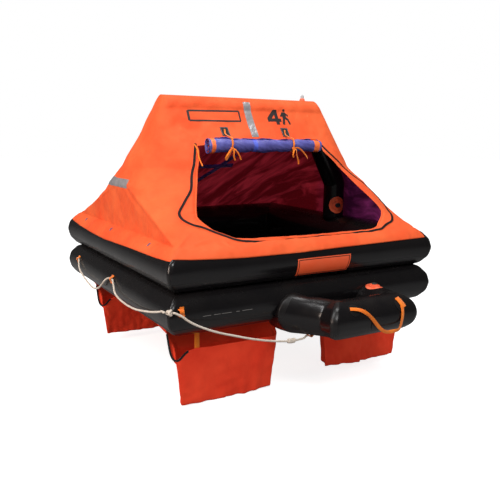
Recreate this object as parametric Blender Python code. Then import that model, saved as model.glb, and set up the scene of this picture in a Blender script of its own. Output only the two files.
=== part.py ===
"""Four person life raft with two buoyancy tubes, an arch-held canopy and a boarding ramp.

Metres, +Z up, front (the doorway) towards -Y.  The origin is the centre of the raft
on the waterline of the empty raft.
"""
import math

import bmesh
import bpy
from mathutils import Matrix, Vector

# Driving sizes
TUBE_R = 0.118            # radius of both buoyancy tubes
HALF_SIDE = 0.735         # half the side of the square that the tubes' centre lines follow
TUBE_STEP = 0.213         # height between the two centre lines, so the tubes press flat
DRAUGHT = 0.038           # how deep the empty raft sits in the water
GAP = 0.0003              # clearance between pieces that touch
FABRIC = 0.004            # thickness given to a sheet of coated cloth

LOWER_Z = TUBE_R - DRAUGHT
UPPER_Z = LOWER_Z + TUBE_STEP
TUBE_SIDES = 24
CORNER_STEPS = 5
CORNER_INSIDE = 0.012     # plan radius of a tube's corner inside the bend
CORNER_OUTSIDE = 0.030    # and outside it

# Canopy arch
ARCH_R = 0.070
ARCH_Y = -0.090           # the arch stands a little in front of the middle
ARCH_FOOT_X = 0.705
ARCH_TOP_X = 0.480        # half the length of the arch's level top
ARCH_SHIFT_X = -0.025     # the top stands this far to the left of the feet
ARCH_KNEE_Z = LOWER_Z + 0.550
ARCH_TOP_Z = LOWER_Z + 1.006
ARCH_SIDES = 16
ARCH_FOOT_Z = UPPER_Z + 0.060
ARCH_VALVE_Z = LOWER_Z + 0.405
LIGHT_X = 0.420

# Canopy
HEM_ANGLES = (22.5, 37.5, 52.5, 67.5)   # degrees above level on the upper tube
CANOPY_ROWS = 10
CANOPY_STEPS = (10, 6)    # stretches along a long side and along a short side
CANOPY_SAG = 0.059
HIP_FULL = 0.514          # share of the height at which the corners reach their full roundness
HIP_POWER = 1.066
HIP_LOW_R = 0.021         # plan radius of the corners at the hem
CANOPY_SEAT = GAP + FABRIC
CANOPY_CLEAR = 0.006      # between the arch's legs and the side panels
RIDGE_SLACK = 1.035       # the cloth's radius over the arch, against the arch's own
RIDGE_ANGLES = (22.5, 45.0, 67.5, 84.0)
FRONT_WALL = 1.45         # level distance through a sloping front wall, in cloth thicknesses
SIDE_WALL = 1.15          # the same for a side wall
DOOR_TOP_Z = LOWER_Z + 0.800
DOOR_BOTTOM_Z = LOWER_Z + 0.340
DOOR_WIDE_Z = LOWER_Z + 0.455

# Boarding ramp
RAMP_R = 0.100
RAMP_LEFT_X = -0.052
RAMP_RIGHT_X = 0.380
RAMP_FRONT_Y = -1.054
RAMP_ROOT_Z = LOWER_Z - 0.060
RAMP_FRONT_Z = LOWER_Z - 0.066
RAMP_SIDES = 20
RAMP_WEB_END_Y = -0.842   # where the ramp's web stops short of the lower tube
RAMP_VALVE_Y = -0.895
PLATE_LEFT_X = -0.115     # ends of the blank boarding sign above the ramp
PLATE_RIGHT_X = 0.225
PLATE_THICK = 0.0015
RAMP_SLOPE = (RAMP_FRONT_Z - RAMP_ROOT_Z) / (RAMP_FRONT_Y + HALF_SIDE)

# Door roll
ROLL_R = 0.039
ROLL_HALF = 0.385
ROLL_Y = -0.3443
ROLL_Z = LOWER_Z + 0.806
ROLL_SIDES = 18
TIE_LEFT_X = -0.232
TIE_RIGHT_X = 0.185
TIE_WIDE = 0.022
TIE_THICK = 0.0027
TIE_PATCH_Z = LOWER_Z + 0.880
TIE_PATCH = 0.042         # side of the square webbing patch above each tie

# Floor and ballast pockets
FLOOR_T = 0.006
FLOOR_REACH = HALF_SIDE + 0.013
FLOOR_CORNER = 0.050
FLOOR_TOP = LOWER_Z - TUBE_R * math.cos(math.pi / TUBE_SIDES) - GAP
FLOOR_LOW = FLOOR_TOP - FLOOR_T
POCKET_X = 0.465
POCKET_FRONT_Y = -0.555
POCKET_BACK_Y = 0.635
POCKET_W = 0.300
POCKET_D = 0.165
POCKET_LIP_Z = LOWER_Z - 0.235
POCKET_LOW_Z = LOWER_Z - 0.500
POCKET_CORNER = 0.050
POCKET_LIP_DEPTH = 0.110  # how far back from the lip the rim climbs to the floor
POCKET_TAPER = (0.012, 0.055, 0.015)   # narrower, shallower and further back at the bottom
STRAP_AT = 0.175          # from a pocket's middle to the strap that holds its lip up
STRAP_WIDE = 0.028

# Grab line and its webbing loops
LINE_D = 0.011
LOOP_ANGLE = 15.0         # degrees above level on the lower tube
LOOP_WIDE = 0.026
LOOP_TALL = 0.030
LOOP_THICK = 0.011
LOOP_RISE = 0.0061        # from the tube's surface to the line's centre inside a loop
KNOT_AT = (-0.8555, -0.8555, 0.118)
KNOT_HALF = 0.020
RAMP_LOOP_Y = -0.930

# Gas cylinder under the floor
BOTTLE_R = 0.052
BOTTLE_HALF = 0.185
BOTTLE_XY = (0.300, 0.190)
SLING_T = 0.0028
HOSE_D = 0.008
INLET_ANGLE = -75.0       # where the hose enters the lower tube

COLOURS = {
    "black_rubber": ((0.020, 0.018, 0.020), 0.38),
    "orange_cloth": ((0.880, 0.125, 0.040), 0.72),
    "red_cloth": ((0.500, 0.035, 0.018), 0.75),
    "blue_cloth": ((0.095, 0.095, 0.370), 0.60),
    "orange_webbing": ((0.900, 0.260, 0.030), 0.80),
    "black_webbing": ((0.015, 0.015, 0.018), 0.85),
    "orange_rubber": ((0.820, 0.100, 0.030), 0.55),
    "white_rope": ((0.760, 0.700, 0.620), 0.85),
    "clear_plastic": ((0.850, 0.850, 0.860), 0.15),
    "grey_paint": ((0.300, 0.310, 0.330), 0.40),
    "steel": ((0.600, 0.600, 0.610), 0.30),
}


def clear_scene():
    for item in list(bpy.data.objects):
        bpy.data.objects.remove(item, do_unlink=True)


def material(name):
    found = bpy.data.materials.get(name)
    if found:
        return found
    made = bpy.data.materials.new(name)
    made.use_nodes = True
    shader = made.node_tree.nodes["Principled BSDF"]
    colour, rough = COLOURS[name]
    shader.inputs["Base Color"].default_value = (*colour, 1.0)
    shader.inputs["Roughness"].default_value = rough
    shader.inputs["Metallic"].default_value = 1.0 if name == "steel" else 0.0
    return made


def place(name, mesh, finish, smooth=35.0):
    item = bpy.data.objects.new(name, mesh)
    bpy.context.scene.collection.objects.link(item)
    copy = material(finish).copy()
    copy.name = f"{finish}_{name}"
    mesh.materials.append(copy)
    if smooth:
        mesh.shade_smooth()
        mesh.set_sharp_from_angle(angle=math.radians(smooth))
    return item


def mesh_from_rings(name, rings, closed_loop=False, caps=True):
    """Skin rings of equal point count, either round in a loop or capped at both ends."""
    bm = bmesh.new()
    rows = [[bm.verts.new(point) for point in ring] for ring in rings]
    last = len(rows) if closed_loop else len(rows) - 1
    for i in range(last):
        low, high = rows[i], rows[(i + 1) % len(rows)]
        for j in range(len(low)):
            k = (j + 1) % len(low)
            bm.faces.new((low[j], low[k], high[k], high[j]))
    if caps and not closed_loop:
        bm.faces.new(rows[0][::-1])
        bm.faces.new(rows[-1])
    bmesh.ops.recalc_face_normals(bm, faces=bm.faces)
    mesh = bpy.data.meshes.new(name)
    bm.to_mesh(mesh)
    bm.free()
    return mesh


def box_mesh(name, low, high):
    bm = bmesh.new()
    bmesh.ops.create_cube(bm, size=1.0)
    size = [h - l for l, h in zip(low, high)]
    centre = [(h + l) / 2 for l, h in zip(low, high)]
    bmesh.ops.scale(bm, vec=size, verts=bm.verts)
    bmesh.ops.translate(bm, vec=centre, verts=bm.verts)
    mesh = bpy.data.meshes.new(name)
    bm.to_mesh(mesh)
    bm.free()
    return mesh


def lathe(name, profile, sides, frame=Matrix()):
    """Turn (radius, height) pairs round the local Z axis and cap both ends."""
    rings = []
    for radius, height in profile:
        ring = []
        for k in range(sides):
            turn = 2 * math.pi * (k + 0.5) / sides
            ring.append(frame @ Vector((radius * math.cos(turn), radius * math.sin(turn), height)))
        rings.append(ring)
    return mesh_from_rings(name, rings)


def facing(point, outward, up=(0, 0, 1)):
    """Frame at a point with local Z along outward and local Y close to up."""
    z = Vector(outward).normalized()
    x = Vector(up).cross(z).normalized()
    y = z.cross(x)
    frame = Matrix((x, y, z)).transposed().to_4x4()
    frame.translation = Vector(point)
    return frame


def plate(name, frame, width, height, thick, finish):
    """Flat rectangular plate standing on its frame's origin plane."""
    mesh = box_mesh(name, (-width / 2, -height / 2, 0), (width / 2, height / 2, thick))
    mesh.transform(frame)
    return place(name, mesh, finish, smooth=0)


def rounded_rectangle(a, b, radius, z, centre=(0.0, 0.0), side_steps=(1, 1)):
    """Plan outline with half widths a and b and round corners, walked anticlockwise."""
    points = []
    corners = ((1, 1, 0), (-1, 1, 90), (-1, -1, 180), (1, -1, 270))
    for index, (sx, sy, start) in enumerate(corners):
        cx, cy = sx * (a - radius), sy * (b - radius)
        for k in range(CORNER_STEPS + 1):
            turn = math.radians(start + 90 * k / CORNER_STEPS)
            points.append((cx + radius * math.cos(turn), cy + radius * math.sin(turn)))
        nx, ny, after = corners[(index + 1) % 4]
        turn = math.radians(after)
        to_x = nx * (a - radius) + radius * math.cos(turn)
        to_y = ny * (b - radius) + radius * math.sin(turn)
        steps = side_steps[index % 2]
        from_x, from_y = points[-1]
        for k in range(1, steps):
            part = k / steps
            points.append((from_x + (to_x - from_x) * part, from_y + (to_y - from_y) * part))
    return [Vector((x + centre[0], y + centre[1], z)) for x, y in points]


def tube_corner(angle):
    """Plan radius of the tube's corner, small inside the bend and larger outside."""
    share = ((1 + math.cos(angle)) / 2) ** 2
    return CORNER_INSIDE + (CORNER_OUTSIDE - CORNER_INSIDE) * share


def square_tube(name, centre_z, flat_side):
    """Buoyancy tube: a round section carried round a square, pressed flat on one side."""
    rings = []
    flat = TUBE_STEP / 2 - GAP / 2
    for k in range(TUBE_SIDES):
        angle = 2 * math.pi * (k + 0.5) / TUBE_SIDES
        out = HALF_SIDE + TUBE_R * math.cos(angle)
        up = TUBE_R * math.sin(angle)
        up = min(up, flat) if flat_side > 0 else max(up, -flat)
        rings.append(rounded_rectangle(out, out, tube_corner(angle), centre_z + up))
    mesh = mesh_from_rings(name, rings, closed_loop=True)
    return place(name, mesh, "black_rubber")


def straight_cutter(name, start, end, radius, sides):
    """Round bar used only to cut a saddle, with its flats where the tube has them."""
    along = (Vector(end) - Vector(start)).normalized()
    side = along.cross(Vector((0, 0, 1))).normalized()
    rings = []
    for point in (start, end):
        ring = []
        for k in range(sides):
            angle = 2 * math.pi * (k + 0.5) / sides
            offset = side * math.cos(angle) + Vector((0, 0, 1)) * math.sin(angle)
            ring.append(Vector(point) + offset * radius)
        rings.append(ring)
    item = bpy.data.objects.new(name, mesh_from_rings(name, rings))
    bpy.context.scene.collection.objects.link(item)
    item.hide_render = True
    item.display_type = "WIRE"
    return item


def cut(item, cutter):
    step = item.modifiers.new(cutter.name, "BOOLEAN")
    step.operation = "DIFFERENCE"
    step.solver = "EXACT"
    step.object = cutter


def bent_tube(name, path, radius, sides, level, finish):
    """Tube with mitred joints along a path that stays in the plane square to level."""
    level = Vector(level)
    points = [Vector(p) for p in path]
    rings = []
    for i, point in enumerate(points):
        before = (point - points[max(i - 1, 0)])
        after = (points[min(i + 1, len(points) - 1)] - point)
        if i == 0:
            before = after
        if i == len(points) - 1:
            after = before
        before = before.normalized()
        after = after.normalized()
        side_one = before.cross(level).normalized()
        side_two = after.cross(level).normalized()
        side = (side_one + side_two).normalized()
        stretch = 1 / side.dot(side_one)
        ring = []
        for k in range(sides):
            angle = 2 * math.pi * (k + 0.5) / sides
            offset = side * (stretch * math.cos(angle)) + level * math.sin(angle)
            ring.append(point + offset * radius)
        rings.append(ring)
    return place(name, mesh_from_rings(name, rings), finish)


# Hull

def build_tubes():
    square_tube("lower_tube", LOWER_Z, 1)
    square_tube("upper_tube", UPPER_Z, -1)


def build_floor():
    outline = [rounded_rectangle(FLOOR_REACH, FLOOR_REACH, FLOOR_CORNER, z) for z in (FLOOR_LOW, FLOOR_TOP)]
    place("floor", mesh_from_rings("floor", outline), "black_rubber", smooth=0)


# Canopy

SEAT_ANGLE = math.radians(HEM_ANGLES[-1])
SEAT_REACH = HALF_SIDE + (TUBE_R + CANOPY_SEAT) * math.cos(SEAT_ANGLE)
SEAT_Z = UPPER_Z + (TUBE_R + CANOPY_SEAT) * math.sin(SEAT_ANGLE)
RIDGE_R = ARCH_R * RIDGE_SLACK + FABRIC


def leg_lean(side):
    """How far the arch's leg leans in for each metre of height; side is -1 left, 1 right."""
    return (ARCH_FOOT_X - ARCH_TOP_X - side * ARCH_SHIFT_X) / (ARCH_TOP_Z - ARCH_KNEE_Z)


def leg_reach(side):
    """How far out the cloth passes the arch's knee."""
    return ARCH_FOOT_X + (ARCH_R + CANOPY_SEAT + CANOPY_CLEAR) * math.hypot(1, leg_lean(side))


KNEE_ROW_Z = max(ARCH_KNEE_Z + (leg_reach(side) - SEAT_REACH) / leg_lean(side) for side in (-1, 1))


def side_reach(z, side):
    """Reach of the canopy along X: upright over the arch's feet, then leaning in."""
    return min(SEAT_REACH, leg_reach(side) - leg_lean(side) * (z - ARCH_KNEE_Z))


def ridge_span(z, inset):
    """Half length of a canopy row along X, and its middle's X."""
    left, right = side_reach(z, -1), side_reach(z, 1)
    return (left + right) / 2 - inset * SIDE_WALL, (right - left) / 2


def row_share(z):
    """Part of the way from the canopy's seat on the tube to the arch's top."""
    return (z - SEAT_Z) / (ARCH_TOP_Z - SEAT_Z)


def panel_reach(t):
    """Half depth of the canopy along Y, a straight slope with a sag in its middle."""
    return SEAT_REACH + (RIDGE_R - SEAT_REACH) * t - CANOPY_SAG * 4 * t * (1 - t)


def hip_radius(t, b):
    """Plan radius of the canopy's corners, which grows upwards and tightens near the ridge."""
    full = (0.97 - 0.42 * t ** 4) * b
    return HIP_LOW_R + (full - HIP_LOW_R) * min(t / HIP_FULL, 1.0) ** HIP_POWER


def canopy_front(z):
    """Y of the canopy's outside in the middle of its front panel at height z."""
    t = row_share(z)
    return ARCH_Y * t - panel_reach(t)


def canopy_rings(inset):
    """Rows of the canopy from hem to ridge; inset 0 is the outside, FABRIC the inside."""
    rings = []
    for degrees in HEM_ANGLES:
        angle = math.radians(degrees)
        reach = TUBE_R + CANOPY_SEAT - inset
        out = HALF_SIDE + reach * math.cos(angle)
        corner = tube_corner(angle) + FABRIC - inset
        z = UPPER_Z + reach * math.sin(angle)
        rings.append(rounded_rectangle(out, out, corner, z, (0.0, 0.0), CANOPY_STEPS))
    shares = [k / CANOPY_ROWS for k in range(1, CANOPY_ROWS + 1)]
    knee_share = row_share(KNEE_ROW_Z)
    nearest = min(range(CANOPY_ROWS), key=lambda k: abs(shares[k] - knee_share))
    shares[nearest] = knee_share
    for t in shares:
        z = SEAT_Z + (ARCH_TOP_Z - SEAT_Z) * t
        b = panel_reach(t)
        corner = max(hip_radius(t, b) - inset, 0.01)
        a, middle = ridge_span(z, inset)
        centre = (middle, ARCH_Y * t)
        rings.append(rounded_rectangle(a, b - inset * FRONT_WALL, corner, z, centre, CANOPY_STEPS))
    for degrees in RIDGE_ANGLES:
        angle = math.radians(degrees)
        radius = RIDGE_R - inset
        z = ARCH_TOP_Z + radius * math.sin(angle)
        a, middle = ridge_span(z, inset)
        b = radius * math.cos(angle)
        rings.append(rounded_rectangle(a, b, 0.55 * b, z, (middle, ARCH_Y), CANOPY_STEPS))
    return rings


def rounded_outline(corners):
    """Closed outline in the XZ plane from (x, z, corner radius) rows."""
    points = []
    count = len(corners)
    for i, (x, z, radius) in enumerate(corners):
        here = Vector((x, z))
        to_last = (Vector(corners[i - 1][:2]) - here).normalized()
        to_next = (Vector(corners[(i + 1) % count][:2]) - here).normalized()
        half = to_last.angle(to_next) / 2
        back = radius / math.tan(half)
        centre = here + (to_last + to_next).normalized() * (radius / math.sin(half))
        first = here + to_last * back - centre
        last = here + to_next * back - centre
        sweep = first.angle_signed(last)
        for k in range(5):
            turn = -sweep * k / 4
            c, s = math.cos(turn), math.sin(turn)
            points.append(centre + Vector((first.x * c - first.y * s, first.x * s + first.y * c)))
    return points


def door_outline():
    half = (
        # x, z, corner radius
        (0.440, DOOR_TOP_Z, 0.020),
        (0.610, DOOR_WIDE_Z, 0.040),
        (0.455, DOOR_BOTTOM_Z, 0.120),
    )
    left = [(-x, z, r) for x, z, r in reversed(half)]
    return rounded_outline(list(half) + left)


def build_canopy():
    outer = canopy_rings(0.0)
    inner = canopy_rings(FABRIC)
    bm = bmesh.new()
    shells = [[[bm.verts.new(p) for p in ring] for ring in rings] for rings in (outer, inner)]
    for rows in shells:
        for low, high in zip(rows, rows[1:]):
            for j in range(len(low)):
                k = (j + 1) % len(low)
                bm.faces.new((low[j], low[k], high[k], high[j]))
        bm.faces.new(rows[-1])
    hem_out, hem_in = shells[0][0], shells[1][0]
    for j in range(len(hem_out)):
        k = (j + 1) % len(hem_out)
        bm.faces.new((hem_out[k], hem_out[j], hem_in[j], hem_in[k]))
    bmesh.ops.recalc_face_normals(bm, faces=bm.faces)
    mesh = bpy.data.meshes.new("canopy")
    bm.to_mesh(mesh)
    bm.free()
    canopy = place("canopy", mesh, "orange_cloth")
    outline = door_outline()
    rings = [[Vector((p.x, y, p.y)) for p in outline] for y in (-1.0, ARCH_Y - ARCH_R - 0.03)]
    cutter = bpy.data.objects.new("door_cutter", mesh_from_rings("door_cutter", rings))
    bpy.context.scene.collection.objects.link(cutter)
    cutter.hide_render = True
    cutter.display_type = "WIRE"
    cut(canopy, cutter)


def build_arch():
    path = [(-ARCH_FOOT_X, ARCH_Y, ARCH_FOOT_Z), (-ARCH_FOOT_X, ARCH_Y, ARCH_KNEE_Z),
            (ARCH_SHIFT_X - ARCH_TOP_X, ARCH_Y, ARCH_TOP_Z), (ARCH_SHIFT_X + ARCH_TOP_X, ARCH_Y, ARCH_TOP_Z),
            (ARCH_FOOT_X, ARCH_Y, ARCH_KNEE_Z), (ARCH_FOOT_X, ARCH_Y, ARCH_FOOT_Z)]
    arch = bent_tube("arch_tube", path, ARCH_R, ARCH_SIDES, (0, 1, 0), "black_rubber")
    for side, name in ((-1, "arch_saddle_left"), (1, "arch_saddle_right")):
        x = side * HALF_SIDE
        cutter = straight_cutter(name, (x, ARCH_Y - 0.2, UPPER_Z), (x, ARCH_Y + 0.2, UPPER_Z),
                                 TUBE_R + GAP, TUBE_SIDES)
        cut(arch, cutter)
    flat = ARCH_R * math.cos(math.pi / ARCH_SIDES) + GAP
    seat = facing((ARCH_FOOT_X, ARCH_Y - flat, ARCH_VALVE_Z), (0, -1, 0))
    profile = [(0.030, 0.0), (0.030, 0.006), (0.024, 0.010), (0.015, 0.012)]
    place("arch_valve", lathe("arch_valve", profile, 20, seat), "orange_rubber")


def roll_ring(x, radius):
    """One ring of points round the door roll's axis."""
    turns = [2 * math.pi * k / ROLL_SIDES for k in range(ROLL_SIDES)]
    return [Vector((x, ROLL_Y + radius * math.cos(turn), ROLL_Z + radius * math.sin(turn))) for turn in turns]


def build_door_roll():
    place("door_roll", mesh_from_rings("door_roll", [roll_ring(x, ROLL_R) for x in (-ROLL_HALF, ROLL_HALF)]),
          "blue_cloth")
    inside, outside, half = ROLL_R + GAP, ROLL_R + GAP + TIE_THICK, TIE_WIDE / 2
    z = TIE_PATCH_Z
    slope = (canopy_front(z + 0.03) - canopy_front(z - 0.03)) / 0.06
    outward = Vector((0, -1, slope)).normalized()
    for x, side in ((TIE_LEFT_X, "left"), (TIE_RIGHT_X, "right")):
        name = f"roll_tie_{side}"
        section = ((inside, -half), (outside, -half), (outside, half), (inside, half))
        loops = [roll_ring(x + shift, radius) for radius, shift in section]
        place(name, mesh_from_rings(name, loops, closed_loop=True), "orange_webbing")
        foot = Vector((x - 0.010, canopy_front(z), z)) + outward * 0.0008
        plate(f"tie_patch_{side}", facing(foot, outward), TIE_PATCH, TIE_PATCH, 0.002, "black_webbing")


def build_light():
    z = ARCH_TOP_Z + RIDGE_R + GAP
    seat = Matrix.Translation((LIGHT_X, ARCH_Y, z))
    base = [(0.016, 0.0), (0.016, 0.010), (0.012, 0.014)]
    place("light_base", lathe("light_base", base, 16, seat), "orange_rubber")
    seat_dome = Matrix.Translation((LIGHT_X, ARCH_Y, z + 0.014 + GAP))
    dome = [(0.010, 0.0), (0.010, 0.010), (0.0085, 0.016), (0.005, 0.0205), (0.002, 0.022)]
    place("light_dome", lathe("light_dome", dome, 16, seat_dome), "clear_plastic")


# Boarding ramp

def ramp_z(y):
    """Height of the ramp's centre line, which drops towards the front bar."""
    return RAMP_ROOT_Z + RAMP_SLOPE * (y + HALF_SIDE)


def tilt_ramp(item):
    """Shear a piece that was made level so that it drops towards the ramp's front."""
    shear = Matrix.Identity(4)
    shear[2][1] = RAMP_SLOPE
    shear[2][3] = -RAMP_SLOPE * RAMP_FRONT_Y
    item.data.transform(shear)


def build_ramp():
    root_y = -HALF_SIDE - 0.03
    path = [(RAMP_LEFT_X, root_y, RAMP_FRONT_Z), (RAMP_LEFT_X, RAMP_FRONT_Y, RAMP_FRONT_Z),
            (RAMP_RIGHT_X, RAMP_FRONT_Y, RAMP_FRONT_Z), (RAMP_RIGHT_X, root_y, RAMP_FRONT_Z)]
    ramp = bent_tube("ramp_tube", path, RAMP_R, RAMP_SIDES, (0, 0, 1), "black_rubber")
    tilt_ramp(ramp)
    cutter = straight_cutter("ramp_saddle", (-0.4, -HALF_SIDE, LOWER_Z), (0.8, -HALF_SIDE, LOWER_Z),
                             TUBE_R + GAP, TUBE_SIDES)
    cut(ramp, cutter)

    seat = RAMP_R * math.cos(math.pi / RAMP_SIDES) + GAP
    left, right, front = RAMP_LEFT_X + seat, RAMP_RIGHT_X - seat, RAMP_FRONT_Y + seat
    web = []
    for x, y in ((left, front), (right, front), (right, RAMP_WEB_END_Y), (left, RAMP_WEB_END_Y)):
        web.append((x, y, ramp_z(y)))
    rings = [[Vector((x, y, z + dz)) for x, y, z in web] for dz in (-0.0015, 0.0015)]
    place("ramp_floor", mesh_from_rings("ramp_floor", rings), "black_rubber", smooth=0)

    outward = Vector((0, -RAMP_SLOPE, 1)).normalized()
    top_z = ramp_z(RAMP_VALVE_Y) + RAMP_R * math.cos(math.pi / RAMP_SIDES)
    top = Vector((RAMP_RIGHT_X, RAMP_VALVE_Y, top_z))
    upright = facing(top + outward * GAP, outward, (0, 1, 0))
    profile = [(0.030, 0.0), (0.030, 0.005), (0.022, 0.009), (0.014, 0.011)]
    place("ramp_valve", lathe("ramp_valve", profile, 20, upright), "orange_rubber")


def swept_band(name, path, across, width, thick, finish):
    """Flat webbing along a path; across gives the direction of its width at each point."""
    points = [Vector(p) for p in path]
    rings = []
    for i, point in enumerate(points):
        along = (points[min(i + 1, len(points) - 1)] - points[max(i - 1, 0)]).normalized()
        out = along.cross(Vector(across[i])).normalized()
        wide = out.cross(along).normalized()
        half_w, half_t = wide * width / 2, out * thick / 2
        rings.append([point - half_w - half_t, point + half_w - half_t,
                      point + half_w + half_t, point - half_w + half_t])
    return place(name, mesh_from_rings(name, rings), finish, smooth=0)


def build_ramp_strap():
    """Webbing loop that a swimmer grips, hanging from two points of the front bar."""
    stand = RAMP_R + 0.0032
    left_x, right_x, low_z = 0.015, 0.355, -0.085
    start_z, end_z = stand * math.sin(math.radians(46)), stand * math.sin(math.radians(42))
    one_sided, blunt = 2.8, 4.6    # powers that set the lowest point near the right end
    stations = 18
    path, across = [], []
    for k in range(stations + 1):
        t = k / stations
        drop = 1 - abs(2 * t ** one_sided - 1) ** blunt
        top = start_z + (end_z - start_z) * t
        z = top + (low_z - top) * drop
        clear = stand + 0.008 * min(4 * t * (1 - t) * 2.5, 1.0)
        out = math.sqrt(clear ** 2 - z ** 2) if z > 0 else clear
        path.append((left_x + (right_x - left_x) * t, RAMP_FRONT_Y - out, RAMP_FRONT_Z + z))
        lean = math.asin(max(z, 0.0) / stand)
        across.append((0, math.sin(lean), math.cos(lean)))
    tilt_ramp(swept_band("ramp_strap", path, across, 0.025, 0.003, "orange_webbing"))


def build_boarding_plate():
    """Blank sign bonded round the outer side of the upper tube."""
    inside, outside = TUBE_R + GAP, TUBE_R + GAP + PLATE_THICK
    angles = [7.5, -7.5, -22.5, -37.5, -45.0]
    half_flat = 180.0 / TUBE_SIDES
    centre = Vector((0, -HALF_SIDE, UPPER_Z))
    profile = []
    for radius, order in ((inside, angles), (outside, angles[::-1])):
        for degrees in order:
            angle = math.radians(degrees)
            reach = radius
            if degrees == angles[-1]:
                reach = radius * math.cos(math.radians(half_flat))
            profile.append((-reach * math.cos(angle), reach * math.sin(angle)))
    rings = [[centre + Vector((x, y, z)) for y, z in profile] for x in (PLATE_LEFT_X, PLATE_RIGHT_X)]
    place("boarding_plate", mesh_from_rings("boarding_plate", rings), "orange_rubber", smooth=0)


# Under the raft

def pocket_rings(centre, inset):
    """Rows of a ballast pocket from rim to bottom, the front of the rim hanging as a lip."""
    cx, cy = centre
    narrower, shallower, further = POCKET_TAPER
    rings = []
    rows = 5
    for k in range(rows + 1):
        v = k / rows
        half_w = POCKET_W - narrower * v - inset
        half_d = POCKET_D - shallower * v ** 1.5 - inset
        low = POCKET_LOW_Z + inset
        ring = rounded_rectangle(half_w, half_d, POCKET_CORNER - inset, 0.0, (0.0, 0.0), (6, 3))
        row = []
        for p in ring:
            part = min(max((p.y + POCKET_D - 0.012) / POCKET_LIP_DEPTH, 0.0), 1.0)
            lift = part * part * (3 - 2 * part)
            rim = POCKET_LIP_Z + (FLOOR_LOW - GAP - POCKET_LIP_Z) * lift
            row.append(Vector((cx + p.x, cy + p.y + further * v, rim + (low - rim) * v)))
        rings.append(row)
    return rings


def build_pockets():
    places = (
        # name, x, y
        ("front_left", -POCKET_X, POCKET_FRONT_Y),
        ("front_right", POCKET_X, POCKET_FRONT_Y),
        ("back_left", -POCKET_X, POCKET_BACK_Y),
        ("back_right", POCKET_X, POCKET_BACK_Y),
    )
    for name, x, y in places:
        outer = pocket_rings((x, y), 0.0)
        inner = pocket_rings((x, y), FABRIC)
        rings = outer[::-1] + inner
        mesh = mesh_from_rings(f"pocket_{name}", rings)
        place(f"pocket_{name}", mesh, "red_cloth")
        strap_x = x + math.copysign(STRAP_AT, x)
        front = y - POCKET_D + FABRIC / 2
        low = (strap_x - STRAP_WIDE / 2, front - 0.0015, POCKET_LIP_Z + GAP)
        high = (strap_x + STRAP_WIDE / 2, front + 0.0015, FLOOR_LOW - GAP)
        place(f"pocket_strap_{name}", box_mesh(f"pocket_strap_{name}", low, high), "orange_webbing", smooth=0)


def build_gas_cylinder():
    """Gas cylinder in its slings under the floor, with its head, hose and inlet."""
    cx, cy = BOTTLE_XY
    sling_r = BOTTLE_R + SLING_T
    cz = FLOOR_LOW - GAP - sling_r * math.cos(math.pi / 20)
    turn = Matrix.Translation((cx, cy, cz)) @ Matrix.Rotation(math.radians(90), 4, "Y")
    half = BOTTLE_HALF
    profile = [(0.020, -half), (0.042, -half + 0.012), (BOTTLE_R, -half + 0.035),
               (BOTTLE_R, half - 0.035), (0.042, half - 0.012), (0.018, half)]
    place("gas_cylinder", lathe("gas_cylinder", profile, 20, turn), "grey_paint")
    head = [(0.016, half + GAP), (0.016, half + 0.040), (0.010, half + 0.046)]
    place("cylinder_head", lathe("cylinder_head", head, 12, turn), "steel")
    for dx, side in ((-0.090, "inner"), (0.090, "outer")):
        name = f"cylinder_sling_{side}"
        section = ((BOTTLE_R + GAP, -0.019), (sling_r, -0.019), (sling_r, 0.019), (BOTTLE_R + GAP, 0.019))
        loops = []
        for radius, shift in section:
            loop = []
            for k in range(20):
                angle = 2 * math.pi * (k + 0.5) / 20
                y, z = cy + radius * math.cos(angle), cz + radius * math.sin(angle)
                loop.append(Vector((cx + dx + shift, y, z)))
            loops.append(loop)
        place(name, mesh_from_rings(name, loops, closed_loop=True), "black_webbing")
    flat = TUBE_R * (1 - math.cos(math.pi / TUBE_SIDES)) - GAP
    point, outward = tube_point("right", cy, INLET_ANGLE)
    fitting = [(0.014, 0.0), (0.014, 0.006), (0.008, 0.008), (0.008, 0.016)]
    seat = facing(point - outward * flat, outward, (0, 1, 0))
    place("hose_inlet", lathe("hose_inlet", fitting, 12, seat), "steel")
    end = point + outward * (0.016 - flat + GAP)
    start_x = cx + half + 0.046 + GAP
    route = [(start_x, cy, cz), (start_x + 0.010, cy, cz), (0.610, cy, cz - 0.003), (0.680, cy, cz - 0.005),
             (0.730, cy, cz + 0.002), (0.762, cy, cz + 0.018), end + outward * 0.008, end]
    rope("inflation_hose", route, 14, HOSE_D, "black_rubber")


def build_righting_strap():
    """Webbing under the floor by which a capsized raft is pulled upright."""
    z = FLOOR_LOW - GAP - 0.0015
    reach = HALF_SIDE - 0.030
    stretches = 6
    path = [(0.0, -reach + 2 * reach * k / stretches, z) for k in range(stretches + 1)]
    swept_band("righting_strap", path, [(1, 0, 0)] * len(path), 0.050, 0.003, "orange_webbing")


# Grab line

def tube_point(side, along, degrees, stand=0.0):
    """Point and outward direction on the lower tube; side is front, back, left or right."""
    directions = {"front": (0, -1), "back": (0, 1), "left": (-1, 0), "right": (1, 0)}
    dx, dy = directions[side]
    angle = math.radians(degrees)
    reach = TUBE_R + stand
    out = HALF_SIDE + reach * math.cos(angle)
    z = LOWER_Z + reach * math.sin(angle)
    x = dx * out if dx else along
    y = dy * out if dy else along
    outward = Vector((dx * math.cos(angle), dy * math.cos(angle), math.sin(angle)))
    return Vector((x, y, z)), outward


LOOPS = (
    # name, side of the raft, place along that side
    ("left_back", "left", 0.640),
    ("left_mid", "left", -0.030),
    ("front_left", "front", -0.790),
    ("right_back", "right", 0.640),
    ("right_mid", "right", -0.030),
    ("right_front", "right", -0.640),
    ("back_right", "back", 0.640),
    ("back_mid", "back", -0.030),
    ("back_left", "back", -0.700),
)


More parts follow.
